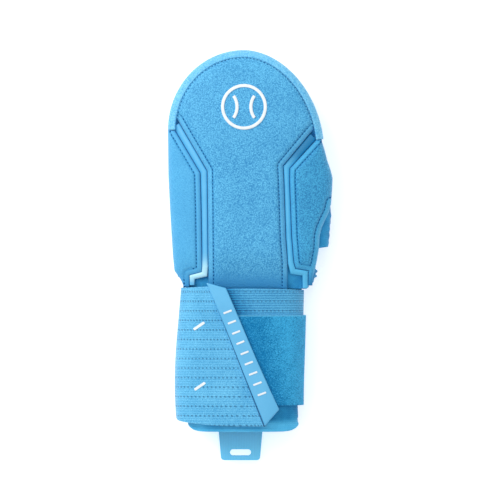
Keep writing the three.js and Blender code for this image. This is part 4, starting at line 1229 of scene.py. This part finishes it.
# %% One small raised bar
unit = bmesh.new()
bmesh.ops.create_cube(unit, size=1)
upright = [e for e in unit.edges if abs(e.verts[0].co.z - e.verts[1].co.z) > 0.5]
bmesh.ops.bevel(unit, geom=upright, offset=0.12, affect="EDGES", segments=3, profile=0.5, material=-1)
top_edges = [e for e in unit.edges if min(v.co.z for v in e.verts) > 0.49]
bmesh.ops.bevel(unit, geom=top_edges, offset=0.07, affect="EDGES", segments=2, profile=0.5, material=-1)
unit_bar = bpy.data.meshes.new("unit_bar")
unit.to_mesh(unit_bar)
unit.free()
tilt = math.radians(22)


def bars(name, centres, long, wide, lean, away):
    """Bars of one size. away is how far outside the cuff's oval their undersides are."""
    shape = bmesh.new()
    for cx, cy in centres:
        known = len(shape.verts)
        shape.from_mesh(unit_bar)
        for vert in list(shape.verts)[known:]:
            x, y, z = vert.co.x * long, vert.co.y * wide, vert.co.z + 0.5
            at_x = np.array([cx - cuff_x + x * math.cos(lean) - y * math.sin(lean)])
            at_y = np.array([cy + x * math.sin(lean) + y * math.cos(lean)])
            px, pz = on_oval(cuff_size(at_y, True), turn_at(at_x, at_y), away - 0.15 + z * 0.5)
            vert.co = Vector((px[0], at_y[0], pz[0])) * MM
    return finish_mesh(name, shape)


print("faces in a bar:", len(unit_bar.polygons))

# %% [markdown]
# ## Placing the bars
# Nine grip bars stand on the tab's middle line at even steps, all with the same lean, and two marks lie
# on the strap. They are a thick white print, so they share one finish, and the badge will use it too.

# %% Grip bars and strap marks
def tab_middle(along):
    x, share = ((mix(tab_top[a], tab_low[a], along) + mix(tab_top[b], tab_low[b], along)) / 2
                for a, b in (("left", "right"), ("left_at", "right_at")))
    return cuff_x + cuff_half_width * x, wrist_y - cuff_length * share


white = Finish("white_print", {"Specular IOR Level": 0.45, "Coat Weight": 0.1, "Coat Roughness": 0.3})
wear = white.noise(white.place(), 0.003, 3)
white.set(white.blend(wear, dye(214, 226, 232), dye(246, 249, 250)), 0.42 + wear * 0.1,
          white.noise(white.place(), 0.0005, 1), 0.00006)
grips = bars("tab_grip_bars", [tab_middle(a) for a in np.linspace(0.2, 0.82, 9)], 6.6, 1.5, tilt,
             tab_away + tab_thickness)
marks = bars("strap_marks", [(-39, -120.5), (-38.6, -168.5)], 9.6, 2, math.radians(37),
             strap_over + strap_thickness)
for piece in (grips, marks):
    piece.data.materials.append(white.material)
    sharpen(piece, 50)
    seat(piece, "moulded_white")

# %% [markdown]
# ## The ball badge
# A plain ball is printed thick on the dome: a ring and two curved seams. Each band is a small section
# spun about the ball's middle, then lowered on the plate, so it follows the crown.

# %% Badge bands
badge_x, badge_y, badge_radius, badge_line, badge_height = -4.8, 54, 17, 2.6, 1.2
badge_seam, badge_away, seam_sweep = 15, 20.5, 1.24
band_section = [(-0.5, 0), (-0.5, 0.55), (-0.44, 0.85), (-0.3, 1), (0.3, 1), (0.44, 0.85), (0.5, 0.55),
                (0.5, 0)]


def badge_band(name, middle_x, radius, start, sweep):
    shape = bmesh.new()
    line = [shape.verts.new(((radius + a * badge_line) * MM, 0, h * badge_height * MM))
            for a, h in band_section]
    edges = [shape.edges.new(pair) for pair in zip(line, [*line[1:], line[0]])]
    bmesh.ops.rotate(shape, verts=line, cent=(0, 0, 0), matrix=Matrix.Rotation(start, 3, "Z"))
    whole = sweep == 2 * math.pi
    bmesh.ops.spin(shape, geom=[*line, *edges], cent=(0, 0, 0), axis=(0, 0, 1), dvec=(0, 0, 0), angle=sweep,
                   steps=96 if whole else 28, use_merge=whole, use_duplicate=False)
    if not whole:
        bmesh.ops.holes_fill(shape, edges=[e for e in shape.edges if e.is_boundary], sides=0)
    for vert in shape.verts:
        x, y = vert.co.x / MM + badge_x + middle_x, vert.co.y / MM + badge_y
        ground = float(body_top(x, y) + plate_height(y) * 1.03)
        vert.co = Vector((x, y, ground - 0.2 + vert.co.z / MM)) * MM
    bmesh.ops.recalc_face_normals(shape, faces=shape.faces)
    band = finish_mesh(name, shape)
    sharpen(band, 35)
    band.data.materials.append(white.material)
    return band


left_start, right_start = -seam_sweep / 2, math.pi - seam_sweep / 2
for name, node, middle_x, radius, start, sweep in (
        ("badge_ring", "ball_ring", 0, badge_radius, 0, 2 * math.pi),
        ("badge_seam_left", "ball_seam_left", -badge_away, badge_seam, left_start, seam_sweep),
        ("badge_seam_right", "ball_seam_right", badge_away, badge_seam, right_start, seam_sweep)):
    seat(badge_band(name, middle_x, radius, start, sweep), "moulded_white", node)

# %% [markdown]
# ## The pull loop
# A flat moulded loop at the cuff's end helps to pull the mitt on. Its outline is a trapezium with round
# corners, and its slot is bridged to it: two closed lines with as many points each, joined by faces.

# %% Pull loop
pull = {"x": -7.6, "width": 36.8, "end": 31.6, "reach": 23.8, "tuck": 16, "thick": 2, "corner": 2.6,
        "slot": 16.8, "slot_width": 4.8, "slot_from_end": 6.4, "z": 9.9}
inner_y, outer_y = hem_y + pull["tuck"], hem_y - pull["reach"]
half = pull["width"] / 2 + (pull["width"] - pull["end"]) / pull["reach"] / 2 * pull["tuck"] * 0.4
end_half, corner = pull["end"] / 2, pull["corner"]
bend = [(math.sin(a) * corner, math.cos(a) * corner) for a in np.linspace(0, math.pi / 2, 7)]
line = [(-half, inner_y), *[(-end_half + corner - c, outer_y + corner - s) for s, c in bend],
        *[(end_half - corner + s, outer_y + corner - c) for s, c in bend], (half, inner_y)]
line = np.array([*line, line[0]], float)
radius = pull["slot_width"] / 2
run = pull["slot"] / 2 - radius
slot_y = outer_y + pull["slot_from_end"]
turns = np.linspace(0, 2 * np.pi, 97)[:-1]
slot_line = np.array([(np.sign(np.cos(t)) * run * (abs(np.cos(t)) > 1e-9) + radius * math.cos(t),
                       slot_y + radius * math.sin(t)) for t in turns])


def by_angle(line, angles):
    """Where rays from the slot's middle at these angles meet a closed line."""
    steps = np.linspace(0, 1, 200, endpoint=False)[:, None]
    fine = np.concatenate([mix(a, b, steps) for a, b in zip(line[:-1], line[1:])])
    ray = np.arctan2(fine[:, 1] - slot_y, fine[:, 0])
    return np.array([fine[np.argmin(np.abs(np.angle(np.exp(1j * (ray - a)))))] for a in angles])


outer_line = by_angle(line, turns)
loop_shape = bmesh.new()
loops = []
for points in (outer_line, slot_line):
    verts = [loop_shape.verts.new(((x + pull["x"]) * MM, y * MM, pull["z"] * MM)) for x, y in points]
    loops += [loop_shape.edges.new(pair) for pair in zip(verts, [*verts[1:], verts[0]])]
bmesh.ops.bridge_loops(loop_shape, edges=loops)
faces = list(loop_shape.faces)
raised = bmesh.ops.extrude_face_region(loop_shape, geom=faces)["geom"]
bmesh.ops.translate(loop_shape, verts=[g for g in raised if isinstance(g, bmesh.types.BMVert)],
                    vec=(0, 0, pull["thick"] * MM))
bmesh.ops.recalc_face_normals(loop_shape, faces=loop_shape.faces)
rims = [e for e in loop_shape.edges if len(e.link_faces) == 2 and e.calc_face_angle(0) > 1.2
        and abs(e.verts[0].co.z - e.verts[1].co.z) < 1e-6]
bmesh.ops.bevel(loop_shape, geom=rims, offset=0.0004, affect="EDGES", segments=3, profile=0.5, material=-1)
pull_piece = finish_mesh("pull_loop_tongue", loop_shape)
sharpen(pull_piece, 30)
# Its dye is paler than the tab's: painted light that makes up for the shade that the cuff casts on it.
pull_piece.data.materials.append(moulded_finish(
    "ribbed_tongue", dye(98, 206, 255), dye(104, 210, 255), 0.12, ribs=0.0021))
seat(pull_piece, "moulded_blue", "pull_loop")

# %% [markdown]
# ## Floor
# The mitt lies on plain white paper. It glows a little, as paper does with bright surroundings on every
# side, and its fine grain is hardly seen.

# %% Floor
floor_shape = bmesh.new()
bmesh.ops.create_grid(floor_shape, x_segments=1, y_segments=1, size=3)
floor = finish_mesh("paper_floor", floor_shape, smooth=False)
for vert in floor.data.vertices:
    vert.co.z = -0.0002
paper = Finish("white_paper", {"Roughness": 0.9, "Specular IOR Level": 0.1, "Emission Color": (1, 1, 1, 1),
                               "Emission Strength": 0.42})
grain = paper.noise(paper.place(), 0.002, 2)
floor.data.materials.append(paper.set(paper.blend(grain, (0.94, 0.94, 0.94, 1), (0.97, 0.97, 0.97, 1))))
print("floor:", round(floor.dimensions.x, 1), "m wide")

# %% [markdown]
# ## Light
# A wide soft light from the upper left gives each border its bright and its dark side. A larger one from
# above and the white surroundings fill the shadows, so that almost none falls on the paper.

# %% Lights
def soft_light(name, energy, size, place, aim=(0, -0.06, 0.03)):
    data = bpy.data.lights.new(name, "AREA")
    data.energy, data.size = energy, size
    light = bpy.data.objects.new(name, data)
    light.location = place
    light.rotation_euler = (Vector(aim) - Vector(place)).to_track_quat("-Z", "Y").to_euler()
    bpy.context.scene.collection.objects.link(light)
    return light


soft_light("window", 20, 1.2, (-1.2, 1.0, 1.3))
soft_light("sky", 11, 1.8, (-0.1, 0.2, 2.0))
world = bpy.data.worlds.new("white room")
bpy.context.scene.world = world
world.use_nodes = True
world.node_tree.nodes["Background"].inputs["Color"].default_value = (1, 1, 1, 1)
world.node_tree.nodes["Background"].inputs["Strength"].default_value = 0.6
bpy.context.scene.view_settings.view_transform = "Standard"
print("lights set")
